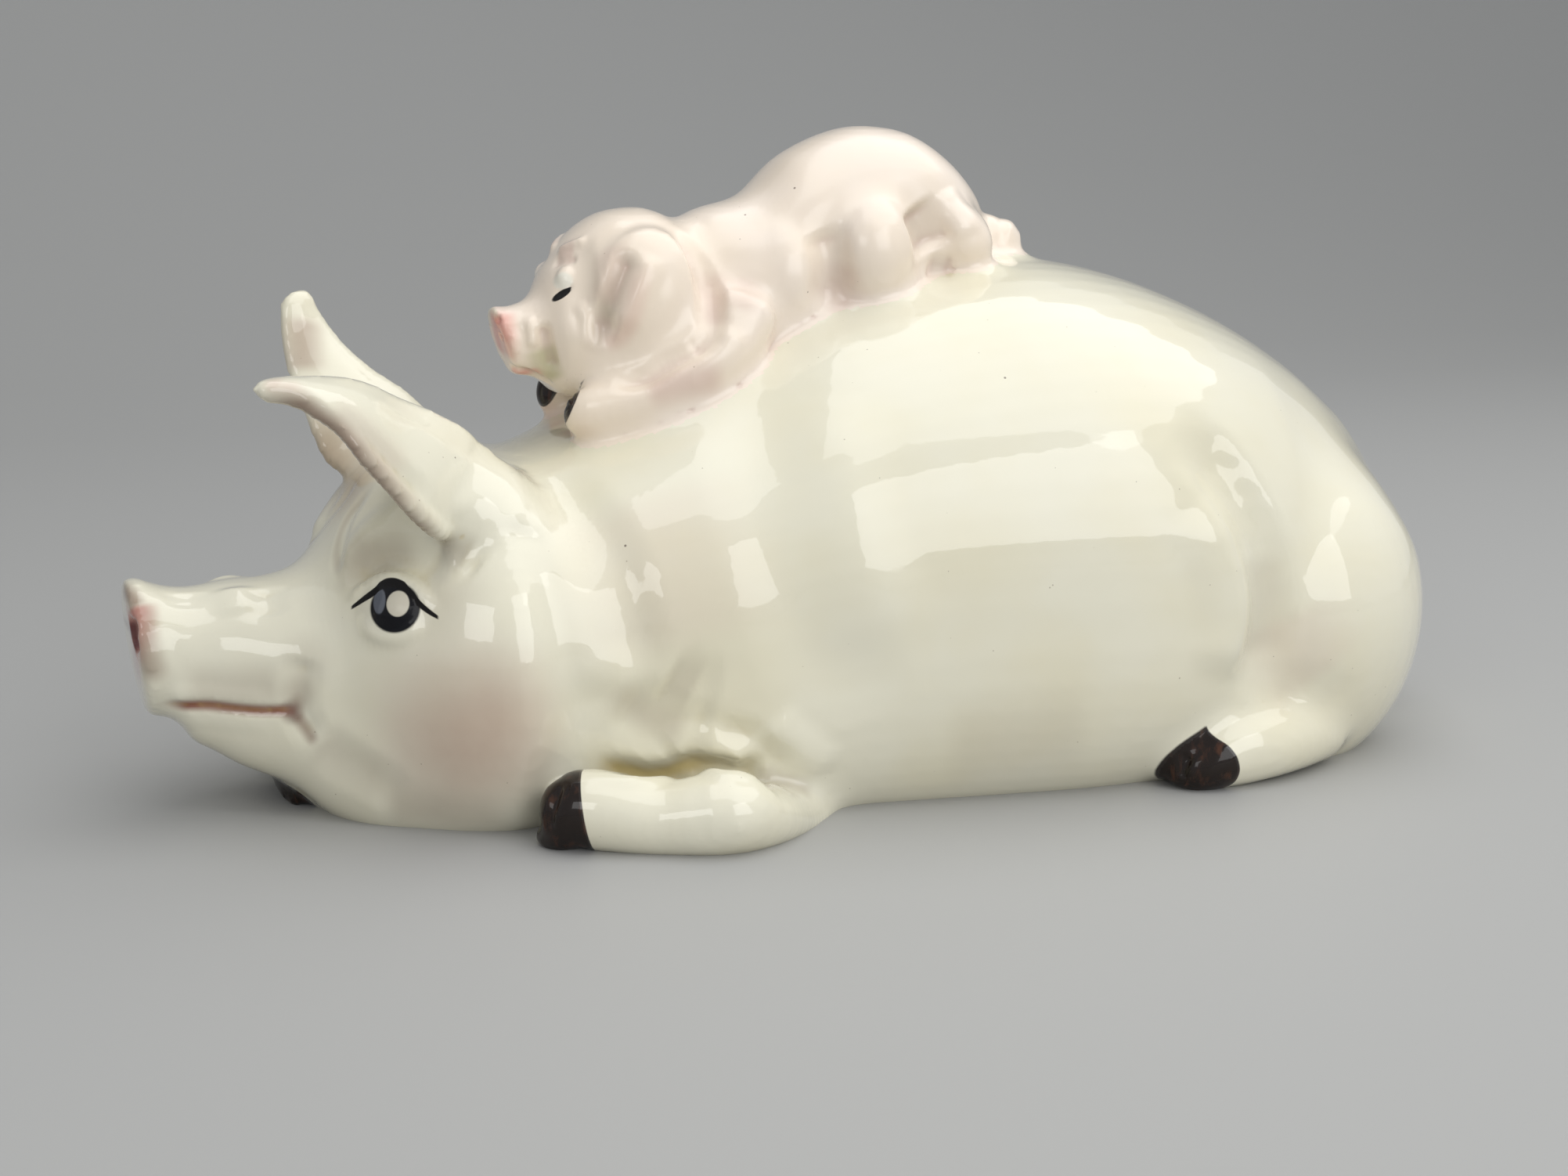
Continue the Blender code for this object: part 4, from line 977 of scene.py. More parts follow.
def fused(forms, voxel):
    """One closed skin round all the forms."""
    whole = bmesh.new()
    scratch = bpy.data.meshes.new("scratch")
    for bm in forms:
        bm.to_mesh(scratch)
        bm.free()
        whole.from_mesh(scratch)
    whole.to_mesh(scratch)
    whole.free()
    item = linked("scratch", scratch)
    step = item.modifiers.new("fuse", "REMESH")
    step.mode = "VOXEL"
    step.voxel_size = voxel
    bpy.context.view_layer.update()
    mesh = bpy.data.meshes.new_from_object(item.evaluated_get(bpy.context.evaluated_depsgraph_get()))
    bpy.data.objects.remove(item)
    bpy.data.meshes.remove(scratch)
    return mesh


def mean_beside(values, pairs, degree):
    """The mean, at each vertex, of the values at the other ends of its edges."""
    a, b = pairs.T
    return (np.bincount(a, values[b], len(degree)) + np.bincount(b, values[a], len(degree))) / degree


class Clay:
    """A skin in millimetres, with the tools that work it."""

    def __init__(self, mesh):
        self.mesh = mesh
        self.read()

    def read(self):
        """Takes over the mesh: its vertices, edges and triangles, not sprayed yet."""
        self.places = taken(self.mesh.vertices, "co", 3)
        self.pairs = taken(self.mesh.edges, "vertices", 2, np.int64)
        self.mesh.calc_loop_triangles()
        self.triangles = taken(self.mesh.loop_triangles, "vertices", 3, np.int64)
        self.degree = np.bincount(self.pairs.ravel(), minlength=len(self.places)).astype(float)
        self.paint = np.zeros((len(self.places), 4))

    def settle(self):
        """Takes the skin as it now stands for the next strokes."""
        self.facing = self.around(self.around(self.normals()))
        self.facing /= np.linalg.norm(self.facing, axis=1)[:, None]
        self.tree = BVHTree.FromPolygons(self.places.tolist(), self.triangles.tolist())

    def around(self, values):
        """Each vertex's mean of its neighbours' values."""
        if values.ndim == 2:
            return np.stack([self.around(column) for column in values.T], axis=1)
        return mean_beside(values, self.pairs, self.degree)

    def normals(self):
        """The skin's normal at each vertex."""
        a, b, c = (self.places[self.triangles[:, k]] for k in range(3))
        faces = np.cross(b - a, c - a)
        total = np.zeros_like(self.places)
        for k in range(3):
            for axis in range(3):
                total[:, axis] += np.bincount(self.triangles[:, k], faces[:, axis], len(total))
        return total / np.maximum(np.linalg.norm(total, axis=1), 1e-12)[:, None]

    def smooth(self, rounds, where=1.0):
        """Smooths the skin and swells it back by as much, so that thin rims keep their size."""
        weight = np.broadcast_to(where, (len(self.places),))[:, None]
        for share in (SHRINK, SWELL) * rounds:
            self.places += share * weight * (self.around(self.places) - self.places)

    def melt(self, path, radius, rounds, mirrored=False):
        """Averages the skin along a path until its creases and seams melt away."""
        weight = np.zeros(len(self.places))
        for chosen, share in self.touch(path, radius, mirrored):
            weight[chosen] = np.maximum(weight[chosen], np.minimum(2.0 * share, 1.0))
        pairs = self.pairs[(weight[self.pairs] > 0.0).any(1)]
        degree = np.maximum(np.bincount(pairs.ravel(), minlength=len(weight)), 1)
        for _round in range(rounds):
            for column in self.places.T:
                column += 0.5 * weight * (mean_beside(column, pairs, degree) - column)

    def fill(self, rounds, least=0.004):
        """Draws clay into the hollows alone, as slip does along a luted seam."""
        for k in range(rounds):
            if k % 3 == 0:
                normal = self.normals()
            drift = self.around(self.places) - self.places
            depth = (drift * normal).sum(1)
            hollow = np.clip(depth / least - 1.0, 0.0, 1.0)[:, None]
            self.places += (drift * 0.3 + normal * (0.8 * depth)[:, None]) * hollow

    def hollows(self, rounds):
        """How hollow the skin is at each vertex, evened out."""
        a, b = self.pairs.T
        squares = np.tile(((self.places[a] - self.places[b]) ** 2).sum(1), 2)
        spacing = np.bincount(np.concatenate((a, b)), squares, len(self.degree)) / self.degree
        depth = ((self.around(self.places) - self.places) * self.normals()).sum(1) / spacing
        for _round in range(rounds):
            depth = 0.5 * depth + 0.5 * self.around(depth)
        return depth

    def under(self, pixel):
        """The skin's point under a pixel of the photograph, or the nearest to it past the outline."""
        place, line = sight(pixel)
        hit = self.tree.ray_cast(place, line)[0]
        if hit is None:
            hit = self.tree.find_nearest(seen(pixel, PAST_OUTLINE_Y))[0]
        return hit

    def near(self, path, radius):
        """The vertices near a path, with their distance and how far along it they lie, from 0 to 1."""
        path = np.array(path)
        inside = (self.places > path.min(0) - radius).all(1) & (self.places < path.max(0) + radius).all(1)
        chosen = np.nonzero(inside)[0]
        places = self.places[chosen]
        distance = np.linalg.norm(places - path[0], axis=1)
        along = np.zeros(len(chosen))
        for k, (start, end) in enumerate(zip(path, path[1:])):
            step = end - start
            share = np.clip(((places - start) @ step) / max(step @ step, 1e-9), 0.0, 1.0)
            gap = np.linalg.norm(places - start - share[:, None] * step, axis=1)
            closer = gap < distance
            distance = np.where(closer, gap, distance)
            along = np.where(closer, (k + share) / (len(path) - 1), along)
        reached = distance < radius
        return chosen[reached], distance[reached], along[reached]

    def route(self, pixels, radius):
        """A smooth path on the skin through pixels of the photograph."""
        points = [self.under(pixel) for pixel in pixels]
        if len(points) == 1:
            return points
        rows = [(k / (len(points) - 1), *point) for k, point in enumerate(points)]
        length = sum((b - a).length for a, b in zip(points, points[1:]))
        count = max(8, int(2 * length / radius))
        return [between(rows, k / count) for k in range(count + 1)]

    def touch(self, path, radius, mirrored):
        """The vertices that a brush meets along a path, with the share of its full touch."""
        for side in (1, -1) if mirrored else (1,):
            chosen, distance, along = self.near([(x, side * y, z) for x, y, z in path], radius)
            share = (1.0 - (distance / radius) ** 2) ** 2
            if len(path) > 1:
                ends = np.clip(np.minimum(along, 1.0 - along) / BRUSH_FADE + BRUSH_START, 0.0, 1.0)
                share *= ends * ends * (3.0 - 2.0 * ends)
            yield chosen, share

    def press(self, path, radius, depth, mirrored=False):
        """Presses the skin along a path, or raises it where the depth is negative."""
        for chosen, share in self.touch(path, radius, mirrored):
            self.places[chosen] -= self.facing[chosen] * (depth * share)[:, None]

    def work(self, strokes, mirrored=False):
        """Presses strokes of pixels, reach and depth, all cast onto the skin as it now stands."""
        self.settle()
        for pixels, radius, depth in strokes:
            self.press(self.route(pixels, radius), radius, depth, mirrored)

    def brush(self, path, radius, colour, strength, mirrored=False):
        """Sprays colour along a path, of underglaze and of painted shade."""
        for chosen, share in self.touch(path, radius, mirrored):
            share = (strength * share)[:, None]
            under = self.paint[chosen, 3:] * (1.0 - share)
            cover = share + under
            both = share * colour + under * self.paint[chosen, :3]
            self.paint[chosen, :3] = both / np.maximum(cover, 1e-6)
            self.paint[chosen, 3:] = cover

    def spray(self, strokes, mirrored=False):
        """Sprays strokes of pixels, reach, colour and strength."""
        for pixels, radius, colour, strength in strokes:
            self.brush(self.route(pixels, radius), radius, np.array(colour), strength, mirrored)

    def refine(self, where):
        """Cuts the faces of a region finer, then smooths them."""
        self.mesh.vertices.foreach_set("co", self.places.ravel())
        bm = bmesh.new()
        bm.from_mesh(self.mesh)
        inside = where(self.places)
        edges = [edge for edge in bm.edges if all(inside[vertex.index] for vertex in edge.verts)]
        bmesh.ops.subdivide_edges(bm, edges=edges, cuts=1, use_grid_fill=True)
        bm.to_mesh(self.mesh)
        bm.free()
        self.read()
        self.smooth(REFINED_SMOOTHING, where(self.places).astype(float))


def clay_mesh(clay, trunk):
    """The worked skin in metres, standing on its cut base, with each face marked with its part.

    Its normals and the depth of its hollows are kept on it.
    """
    mesh = clay.mesh
    mesh.vertices.foreach_set("co", (clay.places * MM).ravel())
    hoof = np.maximum(hoof_depths(trunk, clay.places).max(0), OFF_HOOF)
    fields = (clay.normals(), clay.paint, clay.hollows(POOL_SMOOTHING), hoof)
    for (label, kind, field, _width), values in zip(KEPT, fields):
        mesh.attributes.new(label, kind, "POINT").data.foreach_set(field, values.ravel())
    centres = taken(mesh.polygons, "center", 3) / MM
    bm = bmesh.new()
    bm.from_mesh(mesh)
    bm.faces.ensure_lookup_table()
    borders = []
    for _name, middle, ahead, reach, _clearance in HOOVES:
        close = np.nonzero(np.linalg.norm(centres - middle, axis=1) < reach + 2.0)[0]
        place = (Vector(middle) + HOOF_LAP * Vector(ahead)) * MM
        borders.append((place, ahead, [bm.faces[index] for index in close]))
    for place, ahead, faces in borders:
        cut(bm, place, ahead, faces)
    cut(bm, (0.0, 0.0, 0.0), (0.0, 0.0, -1.0), bm.faces[:], drop=True)
    stand(bm)
    cut(bm, (PARTING_X * MM, 0.0, 0.0), (1.0, 0.0, 0.0), bm.faces[:])
    bm.to_mesh(mesh)
    bm.free()
    parts = part_of(trunk, taken(mesh.polygons, "center", 3) / MM)
    mesh.attributes.new("part", "INT", "FACE").data.foreach_set("value", parts)
    return mesh


def part_of(trunk, centres):
    """The part that the face at each centre belongs to."""
    parts = np.where(centres[:, 0] < PARTING_X, HEAD_PART, TRUNK_PART)
    parts[(centres[:, 0] > PARTING_X) & on_piglet(trunk, centres)] = PIGLET_PART
    parts[before(head_form(), centres, NOSE_DEPTH)] = NOSE_PART
    piglet_nose = before(piglet_head_form(trunk), centres, PIGLET_NOSE_DEPTH)
    parts[(parts == PIGLET_PART) & piglet_nose] = PIGLET_NOSE_PART
    for number, depth in enumerate(hoof_depths(trunk, centres)):
        parts[depth > HOOF_LAP] = HOOF_PART + number
    return parts


def before(form, places, behind):
    """Whether places lie on the nose disc of a form, or up to a distance behind its face."""
    _width, _top, widest, bottom = form.section(form.front)
    slant = form.lean * (places[:, 2] - widest)
    return (places[:, 0] + slant < form.front + behind) & (places[:, 2] > bottom - 1.0)


def on_piglet(trunk, places):
    """Whether places lie on the piglet, off the sow's back and neck."""
    x, y, z = places.T
    around = (x > PIGLET_SPAN[0]) & (x < PIGLET_SPAN[1]) & (np.abs(y) < PIGLET_SIDE) & (z > PIGLET_FLOOR)
    ahead = (x > NECK_X + 1.0) | (z > PIGLET_OVER_NECK)
    return around & ahead & (trunk.beyond(places) > PIGLET_CLEAR)


def cut_finer(trunk, places):
    """Whether places lie on the head, the piglet, the near foreleg or a hind hoof."""
    x, y, z = places.T
    foreleg = (x < FORELEG_REAR) & (y < FORELEG_INSIDE) & (z < FORELEG_TOP)
    near, far = HIND_HOOF_SPAN
    hind_hoof = (x > near) & (x < far) & (np.abs(y) > HIND_HOOF_INSIDE) & (z < HIND_HOOF_TOP)
    return (x < FINE_BEFORE_X) | on_piglet(trunk, places) | foreleg | hind_hoof


def in_hoof(number, bodies, places):
    """How far places lie within a hoof: past its border and off the bodies beside it."""
    _name, middle, ahead, reach, clearance = HOOVES[number]
    offset = places - np.array(middle)
    room = reach - np.linalg.norm(offset, axis=1)
    depth = np.minimum(offset @ np.array(ahead), room)
    close = room > 0.0
    for body in bodies:
        depth[close] = np.minimum(depth[close], body.beyond(places[close]) - clearance)
    return depth


def hoof_depths(trunk, places):
    """How far places lie within each of the hooves."""
    sow = (trunk, head_form())
    piglet = (trunk, piglet_head_form(trunk))
    bodies = [piglet if name.startswith("piglet") else sow for name, *_rest in HOOVES]
    return np.stack([in_hoof(k, beside, places) for k, beside in enumerate(bodies)])


def cut(bm, place, direction, faces, drop=False):
    """Cuts faces along a plane; all that lies where the direction points may be dropped."""
    edges = {edge for face in faces for edge in face.edges}
    verts = {vertex for face in faces for vertex in face.verts}
    bmesh.ops.bisect_plane(
        bm, geom=[*verts, *edges, *faces], dist=1e-7, plane_co=place, plane_no=direction, clear_outer=drop
    )


def stand(bm):
    """Closes the cut base with bare clay, round the pour hole."""
    radius = bpy.context.scene.figurine_sizes.pour_hole
    edges = [edge for edge in bm.edges if edge.is_boundary]
    ring = bmesh.ops.create_circle(bm, segments=96, radius=radius)["verts"]
    bmesh.ops.translate(bm, vec=(POUR_HOLE_X * MM, 0.0, 0.0), verts=ring)
    rim = list({edge for vertex in ring for edge in vertex.link_edges})
    skin = set(bm.faces)
    bmesh.ops.triangle_fill(bm, use_beauty=True, edges=edges + rim)
    sink(bm, rim)
    mark_bare(bm, skin)


def mark_bare(bm, skin):
    """Gives every face that isn't of the skin to the bare clay."""
    for face in bm.faces:
        if face not in skin:
            face.material_index = 1


def cap(bm):
    """Closes a piece's openings just under its skin, so that no closing face shows at a seam."""
    bm.normal_update()
    skin = set(bm.faces)
    made = bmesh.ops.extrude_edge_only(bm, edges=[edge for edge in bm.edges if edge.is_boundary])["geom"]
    ring = {item for item in made if isinstance(item, bmesh.types.BMVert)}
    for vertex in ring:
        for edge in vertex.link_edges:
            root = edge.other_vert(vertex)
            if root not in ring:
                vertex.co = root.co - root.normal * (SEAM_DEPTH * MM)
    rim = [item for item in made if isinstance(item, bmesh.types.BMEdge)]
    filled = bmesh.ops.holes_fill(bm, edges=rim, sides=0)["faces"]
    bmesh.ops.triangulate(bm, faces=filled)
    mark_bare(bm, skin)


def sink(bm, rim):
    """Sinks the pour hole up into the clay from its rim."""
    for step_in, step_up in POUR_HOLE_STEPS:
        made = bmesh.ops.extrude_edge_only(bm, edges=rim)["geom"]
        ring = [item for item in made if isinstance(item, bmesh.types.BMVert)]
        rim = [item for item in made if isinstance(item, bmesh.types.BMEdge)]
        for vertex in ring:
            across = Vector((vertex.co.x - POUR_HOLE_X * MM, vertex.co.y))
            across.length = max(across.length - step_in * MM, 0.001)
            vertex.co = (POUR_HOLE_X * MM + across.x, across.y, vertex.co.z + step_up * MM)
    bmesh.ops.holes_fill(bm, edges=rim, sides=0)


def keep_normals(mesh):
    """Gives the skin the normals that it had whole, so that a parting seam doesn't show."""
    mesh.shade_smooth()
    skin = taken(mesh.attributes["skin_normal"].data, "vector", 3)
    wanted = skin[taken(mesh.loops, "vertex_index", kind=np.int32)]
    sizes = taken(mesh.polygons, "loop_total", kind=np.int32)
    is_cap = np.repeat(taken(mesh.polygons, "material_index", kind=np.int32) > 0, sizes)
    wanted[is_cap] = np.repeat(taken(mesh.polygons, "normal", 3), sizes, axis=0)[is_cap]
    mesh.attributes.remove(mesh.attributes["skin_normal"])
    mesh.normals_split_custom_set(wanted.tolist())


def part_mesh(name, part):
    """The faces of one part of the worked skin, with what is kept on their vertices."""
    clay = bpy.data.meshes[CLAY]
    chosen = np.nonzero(taken(clay.attributes["part"].data, "value", kind=np.int32) == part)[0]
    starts, sizes, bare = (
        taken(clay.polygons, field, kind=np.int32)[chosen]
        for field in ("loop_start", "loop_total", "material_index")
    )
    corners = taken(clay.loops, "vertex_index", kind=np.int32)
    rings = [corners[start:start + size] for start, size in zip(starts, sizes)]
    used, order = np.unique(np.concatenate(rings), return_inverse=True)
    faces = [ring.tolist() for ring in np.split(order, np.cumsum(sizes)[:-1])]
    mesh = bpy.data.meshes.new(name)
    mesh.from_pydata(taken(clay.vertices, "co", 3)[used].tolist(), [], faces)
    mesh.polygons.foreach_set("material_index", bare)
    for label, kind, field, width in KEPT:
        values = taken(clay.attributes[label].data, field, width)[used]
        mesh.attributes.new(label, kind, "POINT").data.foreach_set(field, values.ravel())
    return mesh


def part_off(name, part, slot, *nodes):
    """Parts a piece from the worked skin and closes it; it stands for nodes of the frame."""
    mesh = part_mesh(name, part)
    bm = bmesh.new()
    bm.from_mesh(mesh)
    cap(bm)
    bm.to_mesh(mesh)
    bm.free()
    keep_normals(mesh)
    piece = linked(name, mesh)
    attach(piece, "root")
    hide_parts(*nodes)
    return piece


def both_sides(animal, *parts):
    """The nodes of an animal's paired parts."""
    return [f"{animal}_{part}_{side}" for part in parts for side in ("left", "right")]


class FigurineSizes(bpy.types.PropertyGroup):
    """Sizes that the modelling operators read."""

    skin_detail: FloatProperty(
        name="Skin detail",
        description="Edge of the skin's faces before they are cut finer",
        default=1.02 * MM,
        min=0.4 * MM,
        unit="LENGTH",
    )
    seam_filling: IntProperty(
        name="Seam filling", description="Rounds of slip drawn into the luted seams", default=30, min=0
    )
    pour_hole: FloatProperty(
        name="Pour hole",
        description="Radius of the pour hole's rim",
        default=9.0 * MM,
        min=6.0 * MM,
        unit="LENGTH",
    )


def fired_colour(name, description, default):
    """A colour that a user may change."""
    return FloatVectorProperty(name=name, description=description, subtype="COLOR", size=3, default=default)


class FigurineColours(bpy.types.PropertyGroup):
    """Glaze colours that the materials read."""

    ivory: fired_colour("Ivory", "Glaze of the sow", (0.77, 0.74, 0.60))
    pink: fired_colour("Pink", "Glaze of the piglet", (0.84, 0.74, 0.64))
    nose: fired_colour("Nose", "Glaze of the sow's nose", (0.46, 0.20, 0.16))
    piglet_nose: fired_colour("Piglet's nose", "Glaze of the piglet's nose", CORAL)
    hoof: fired_colour("Hoof", "Glaze of the hooves", (0.011, 0.006, 0.004))
    bisque: fired_colour("Bisque", "Bare clay of the base", (0.66, 0.60, 0.52))


class Wire:
    """A socket of a material, with arithmetic on its values."""

    def __init__(self, recipe, socket):
        self.recipe = recipe
        self.socket = socket

    def math(self, operation, first, second=0.0):
        return self.recipe.add("ShaderNodeMath", {"operation": operation}, {0: first, 1: second})

    def __add__(self, other):
        return self.math("ADD", self, other)

    def __radd__(self, other):
        return self.math("ADD", other, self)

    def __sub__(self, other):
        return self.math("SUBTRACT", self, other)

    def __rsub__(self, other):
        return self.math("SUBTRACT", other, self)

    def __mul__(self, other):
        return self.math("MULTIPLY", self, other)

    def __rmul__(self, other):
        return self.math("MULTIPLY", other, self)

    def __truediv__(self, other):
        return self.math("DIVIDE", self, other)

    def __rtruediv__(self, other):
        return self.math("DIVIDE", other, self)

    def __abs__(self):
        return self.math("ABSOLUTE", self)

    def beside(self, output):
        """Another output of the same node."""
        return Wire(self.recipe, self.socket.node.outputs[output])

    def most(self, other):
        return self.math("MAXIMUM", self, other)

    def power(self, other):
        return self.math("POWER", self, other)

    def ramp(self, start, end, low=0.0, high=1.0):
        """Rises smoothly from low to high while the value goes from start to end."""
        settings = {"interpolation_type": "SMOOTHSTEP"}
        values = {"Value": self, "From Min": start, "From Max": end, "To Min": low, "To Max": high}
        return self.recipe.add("ShaderNodeMapRange", settings, values)


class Recipe:
    """A glaze: the node tree of one material."""

    def __init__(self, name, coat=1.0, gloss=0.03, specular=0.1):
        """Starts the tree; gloss is the coat's roughness."""
        self.material = bpy.data.materials.new(name)
        self.material.use_nodes = True
        self.tree = self.material.node_tree
        self.shader = self.tree.nodes["Principled BSDF"]
        self.shader.inputs["Specular IOR Level"].default_value = specular
        self.shader.inputs["Coat Weight"].default_value = coat
        self.shader.inputs["Coat Roughness"].default_value = gloss
        self.shader.inputs["Coat IOR"].default_value = 1.5
        self.places = self.add("ShaderNodeTexCoord", {}, {}, "Object")

    def add(self, kind, settings, values, output=0):
        """Adds a node, with its settings first, then the values or links of its sockets."""
        node = self.tree.nodes.new(kind)
        for name, value in settings.items():
            if name == "curve":
                lead_curve(node.mapping, value)
            else:
                setattr(node, name, value)
        for name, value in values.items():
            self.feed(node.inputs[name], value)
        return Wire(self, node.outputs[output])

    def feed(self, socket, value):
        """Links a wire to a socket, or sets the socket's value."""
        if isinstance(value, Wire):
            self.tree.links.new(value.socket, socket)
        elif socket.type == "RGBA" and len(value) == 3:
            socket.default_value = (*value, 1.0)
        else:
            socket.default_value = value

    def set(self, name, value):
        """Feeds a socket of the shader."""
        self.feed(self.shader.inputs[name], value)

    def mix(self, share, first, second):
        """A colour between two."""
        return self.add("ShaderNodeMix", {"data_type": "RGBA"}, {0: share, 6: first, 7: second}, 2)

    def vector(self, operation, first, second, output=0):
        return self.add("ShaderNodeVectorMath", {"operation": operation}, {0: first, 1: second}, output)

    def noise(self, size, detail=2.0, places=None):
        """Cloudy values from 0 to 1, whose clouds are as large as the size in millimetres."""
        values = {"Vector": places or self.places, "Scale": 1.0 / (size * MM), "Detail": detail}
        return self.add("ShaderNodeTexNoise", {}, values)

    def kept(self, name, output="Fac"):
        """Values kept on the skin under a name."""
        return self.add("ShaderNodeAttribute", {"attribute_name": name}, {}, output)

    def bump(self, height, depth):
        """Raises the surface by a depth in millimetres where the height is 1."""
        self.set("Normal", self.add("ShaderNodeBump", {}, {"Height": height, "Distance": depth * MM}))


def lead_curve(mapping, points):
    """Leads a curve through points, whose first and last lie at 0 and 1."""
    curve = mapping.curves[0]
    for x, y in points[1:-1]:
        curve.points.new(x, y)
    for point, (_x, y) in ((curve.points[0], points[0]), (curve.points[-1], points[-1])):
        point.location.y = y
    mapping.update()


def specks(recipe, spacing, radius, share):
    """Small round iron specks, one in each cell of the chosen share of cells."""
    values = {"Vector": recipe.places, "Scale": 1.0 / (spacing * MM), "Randomness": 1.0}
    gap = recipe.add("ShaderNodeTexVoronoi", {"feature": "F1"}, values, "Distance")
    draw = recipe.add("ShaderNodeSeparateColor", {}, {0: gap.beside("Color")}, "Red")
    reach = (radius / spacing) * (0.4 + 0.6 * draw.beside("Green"))
    return (gap / reach).ramp(1.15, 0.55) * draw.ramp(share, share - 0.01)


def glazed(name, base, pool_colour, gloss=0.03):
    """Coloured earthenware under a clear glaze: sprays of underglaze and of painted shade, pooled seams and
    specks over the base.
    """
    recipe = Recipe(name, gloss=gloss)
    cloud = recipe.noise(30.0, 3.0)
    fine = recipe.noise(4.0, 2.0)
    warm = tuple(c * f for c, f in zip(base, (0.97, 0.945, 0.87)))
    colour = recipe.mix(cloud.ramp(0.35, 0.7) * 0.7, tuple(base), warm)
    # sprayed underglaze, and painted shade
    spray = recipe.kept("spray", "Color")
    colour = recipe.mix(spray.beside("Alpha") * (0.9 + 0.2 * fine), colour, spray)
    pool = recipe.kept("pool").ramp(0.03, 0.16)
    colour = recipe.mix(pool * (0.2 + 0.2 * fine), colour, pool_colour)
    colour = recipe.mix(specks(recipe, 2.6, 0.20, 0.28) * 0.45, colour, FINE_SPECK)
    colour = recipe.mix(specks(recipe, 9.0, 0.30, 0.30) * 0.75, colour, IRON_SPECK)
    recipe.colour = recipe.mix(recipe.kept("hoof").ramp(-0.12, 0.12), colour, streaked_brown(recipe))
    recipe.set("Base Color", recipe.colour)
    recipe.set("Roughness", 0.16 + 0.10 * fine)
    recipe.bump(recipe.noise(7.0, 1.0), 0.05)
    return recipe


def bisque():
    """Bare fired clay, matt and dusty."""
    colours = bpy.context.scene.figurine_colours
    recipe = Recipe("bisque", coat=0.0, specular=0.3)
    grain = recipe.noise(0.7, 4.0)
    cloud = recipe.noise(18.0, 3.0)
    dusty = tuple(0.82 * c for c in colours.bisque)
    recipe.set("Base Color", recipe.mix(0.5 * grain + 0.5 * cloud, tuple(colours.bisque), dusty))
    recipe.set("Roughness", 0.75 + 0.15 * grain)
    recipe.bump(grain, 0.12)
    return recipe.material


def from_point(recipe, middle):
    """Distances right and up from a point of the skin, in pixels of the photograph, on both sides."""
    place, ahead, right, up = camera_axes()
    x = recipe.add("ShaderNodeSeparateXYZ", {}, {0: recipe.places}, "X")
    near = recipe.add("ShaderNodeCombineXYZ", {}, {0: x, 1: 0.0 - abs(x.beside("Y")), 2: x.beside("Z")})
    offset = recipe.vector("SUBTRACT", near, tuple(middle * MM))
    scale = CAMERA_FOCUS_PIXELS / (middle * MM - place).dot(ahead)
    across = recipe.vector("DOT_PRODUCT", offset, tuple(right * scale), "Value")
    rise = recipe.vector("DOT_PRODUCT", offset, tuple(up * scale), "Value")
    return across, rise


def oval(across, rise, middle, radii, soft=0.06):
    """1 within an ellipse and 0 outside it, with a soft border."""
    u = (across - middle[0]) / radii[0]
    v = (rise - middle[1]) / radii[1]
    return (u * u + v * v).power(0.5).ramp(1.0 + soft, 1.0 - soft)


def painted_line(recipe, across, rise, points, half_width):
    """A brush line through points, thick in its middle and thin at its ends."""
    left, right = points[0][0], points[-1][0]
    low = min(v for _u, v in points)
    span = max(v for _u, v in points) - low
    share = (across - left) / (right - left)
    curve = [((u - left) / (right - left), (v - low) / span) for u, v in points]
    height = recipe.add("ShaderNodeFloatCurve", {"curve": curve}, {"Value": share}) * span + low
    inside = share.ramp(-0.01, 0.02) * share.ramp(1.01, 0.98)
    width = half_width * (0.35 + 2.6 * share * (1.0 - share))
    return (abs(rise - height) - width).ramp(0.9, -0.9) * inside


def paint_eyes(recipe):
    """The sow's eyes, in pixels: pale ground, black iris with a grey patch and a gleam, and lashes."""
    across, rise = from_point(recipe, EYE_PLACE)
    ground = oval(across, rise, (0.0, 1.0), (52.0, 36.0), 0.25) * 0.35
    iris = oval(across, rise, (2.0, 0.0), (34.5, 32.5))
    patch = oval(across, rise, (-19.0, 8.0), (9.0, 16.0), 0.12) * iris
    lash = painted_line(recipe, across, rise, LASH_LINE, 6.4)
    gleam = oval(across, rise, (7.0, 5.0), (15.0, 16.5), 0.07)
    colour = recipe.colour
    for share, over in (
        (ground, EYE_GROUND),
        (iris, EYE_BLACK),
        (patch, EYE_GREY),
        (lash, LASH_BLACK),
        (gleam, EYE_GLEAM),
    ):
        colour = recipe.mix(share, colour, over)
    recipe.set("Base Color", colour)
    recipe.set("Coat Weight", 1.0 - 0.85 * lash.most(iris - patch))


def streaked_brown(recipe):
    """The dark brown of the hooves, streaked by the brush."""
    values = {"Vector": recipe.places, "Scale": (1.0, 1.0, 0.25)}
    stretched = recipe.add("ShaderNodeMapping", {"vector_type": "POINT"}, values)
    streak = recipe.noise(1.6, 3.0, stretched).ramp(0.5, 0.8)
    return recipe.mix(streak * 0.7, tuple(bpy.context.scene.figurine_colours.hoof), HOOF_STREAK)


def hoof_glaze():
    """Streaked dark brown under a thin glaze."""
    recipe = Recipe("hoof_glaze", coat=0.5, gloss=0.05)
    recipe.set("Base Color", streaked_brown(recipe))
    recipe.set("Roughness", 0.14 + 0.2 * recipe.noise(1.6))
    return recipe.material


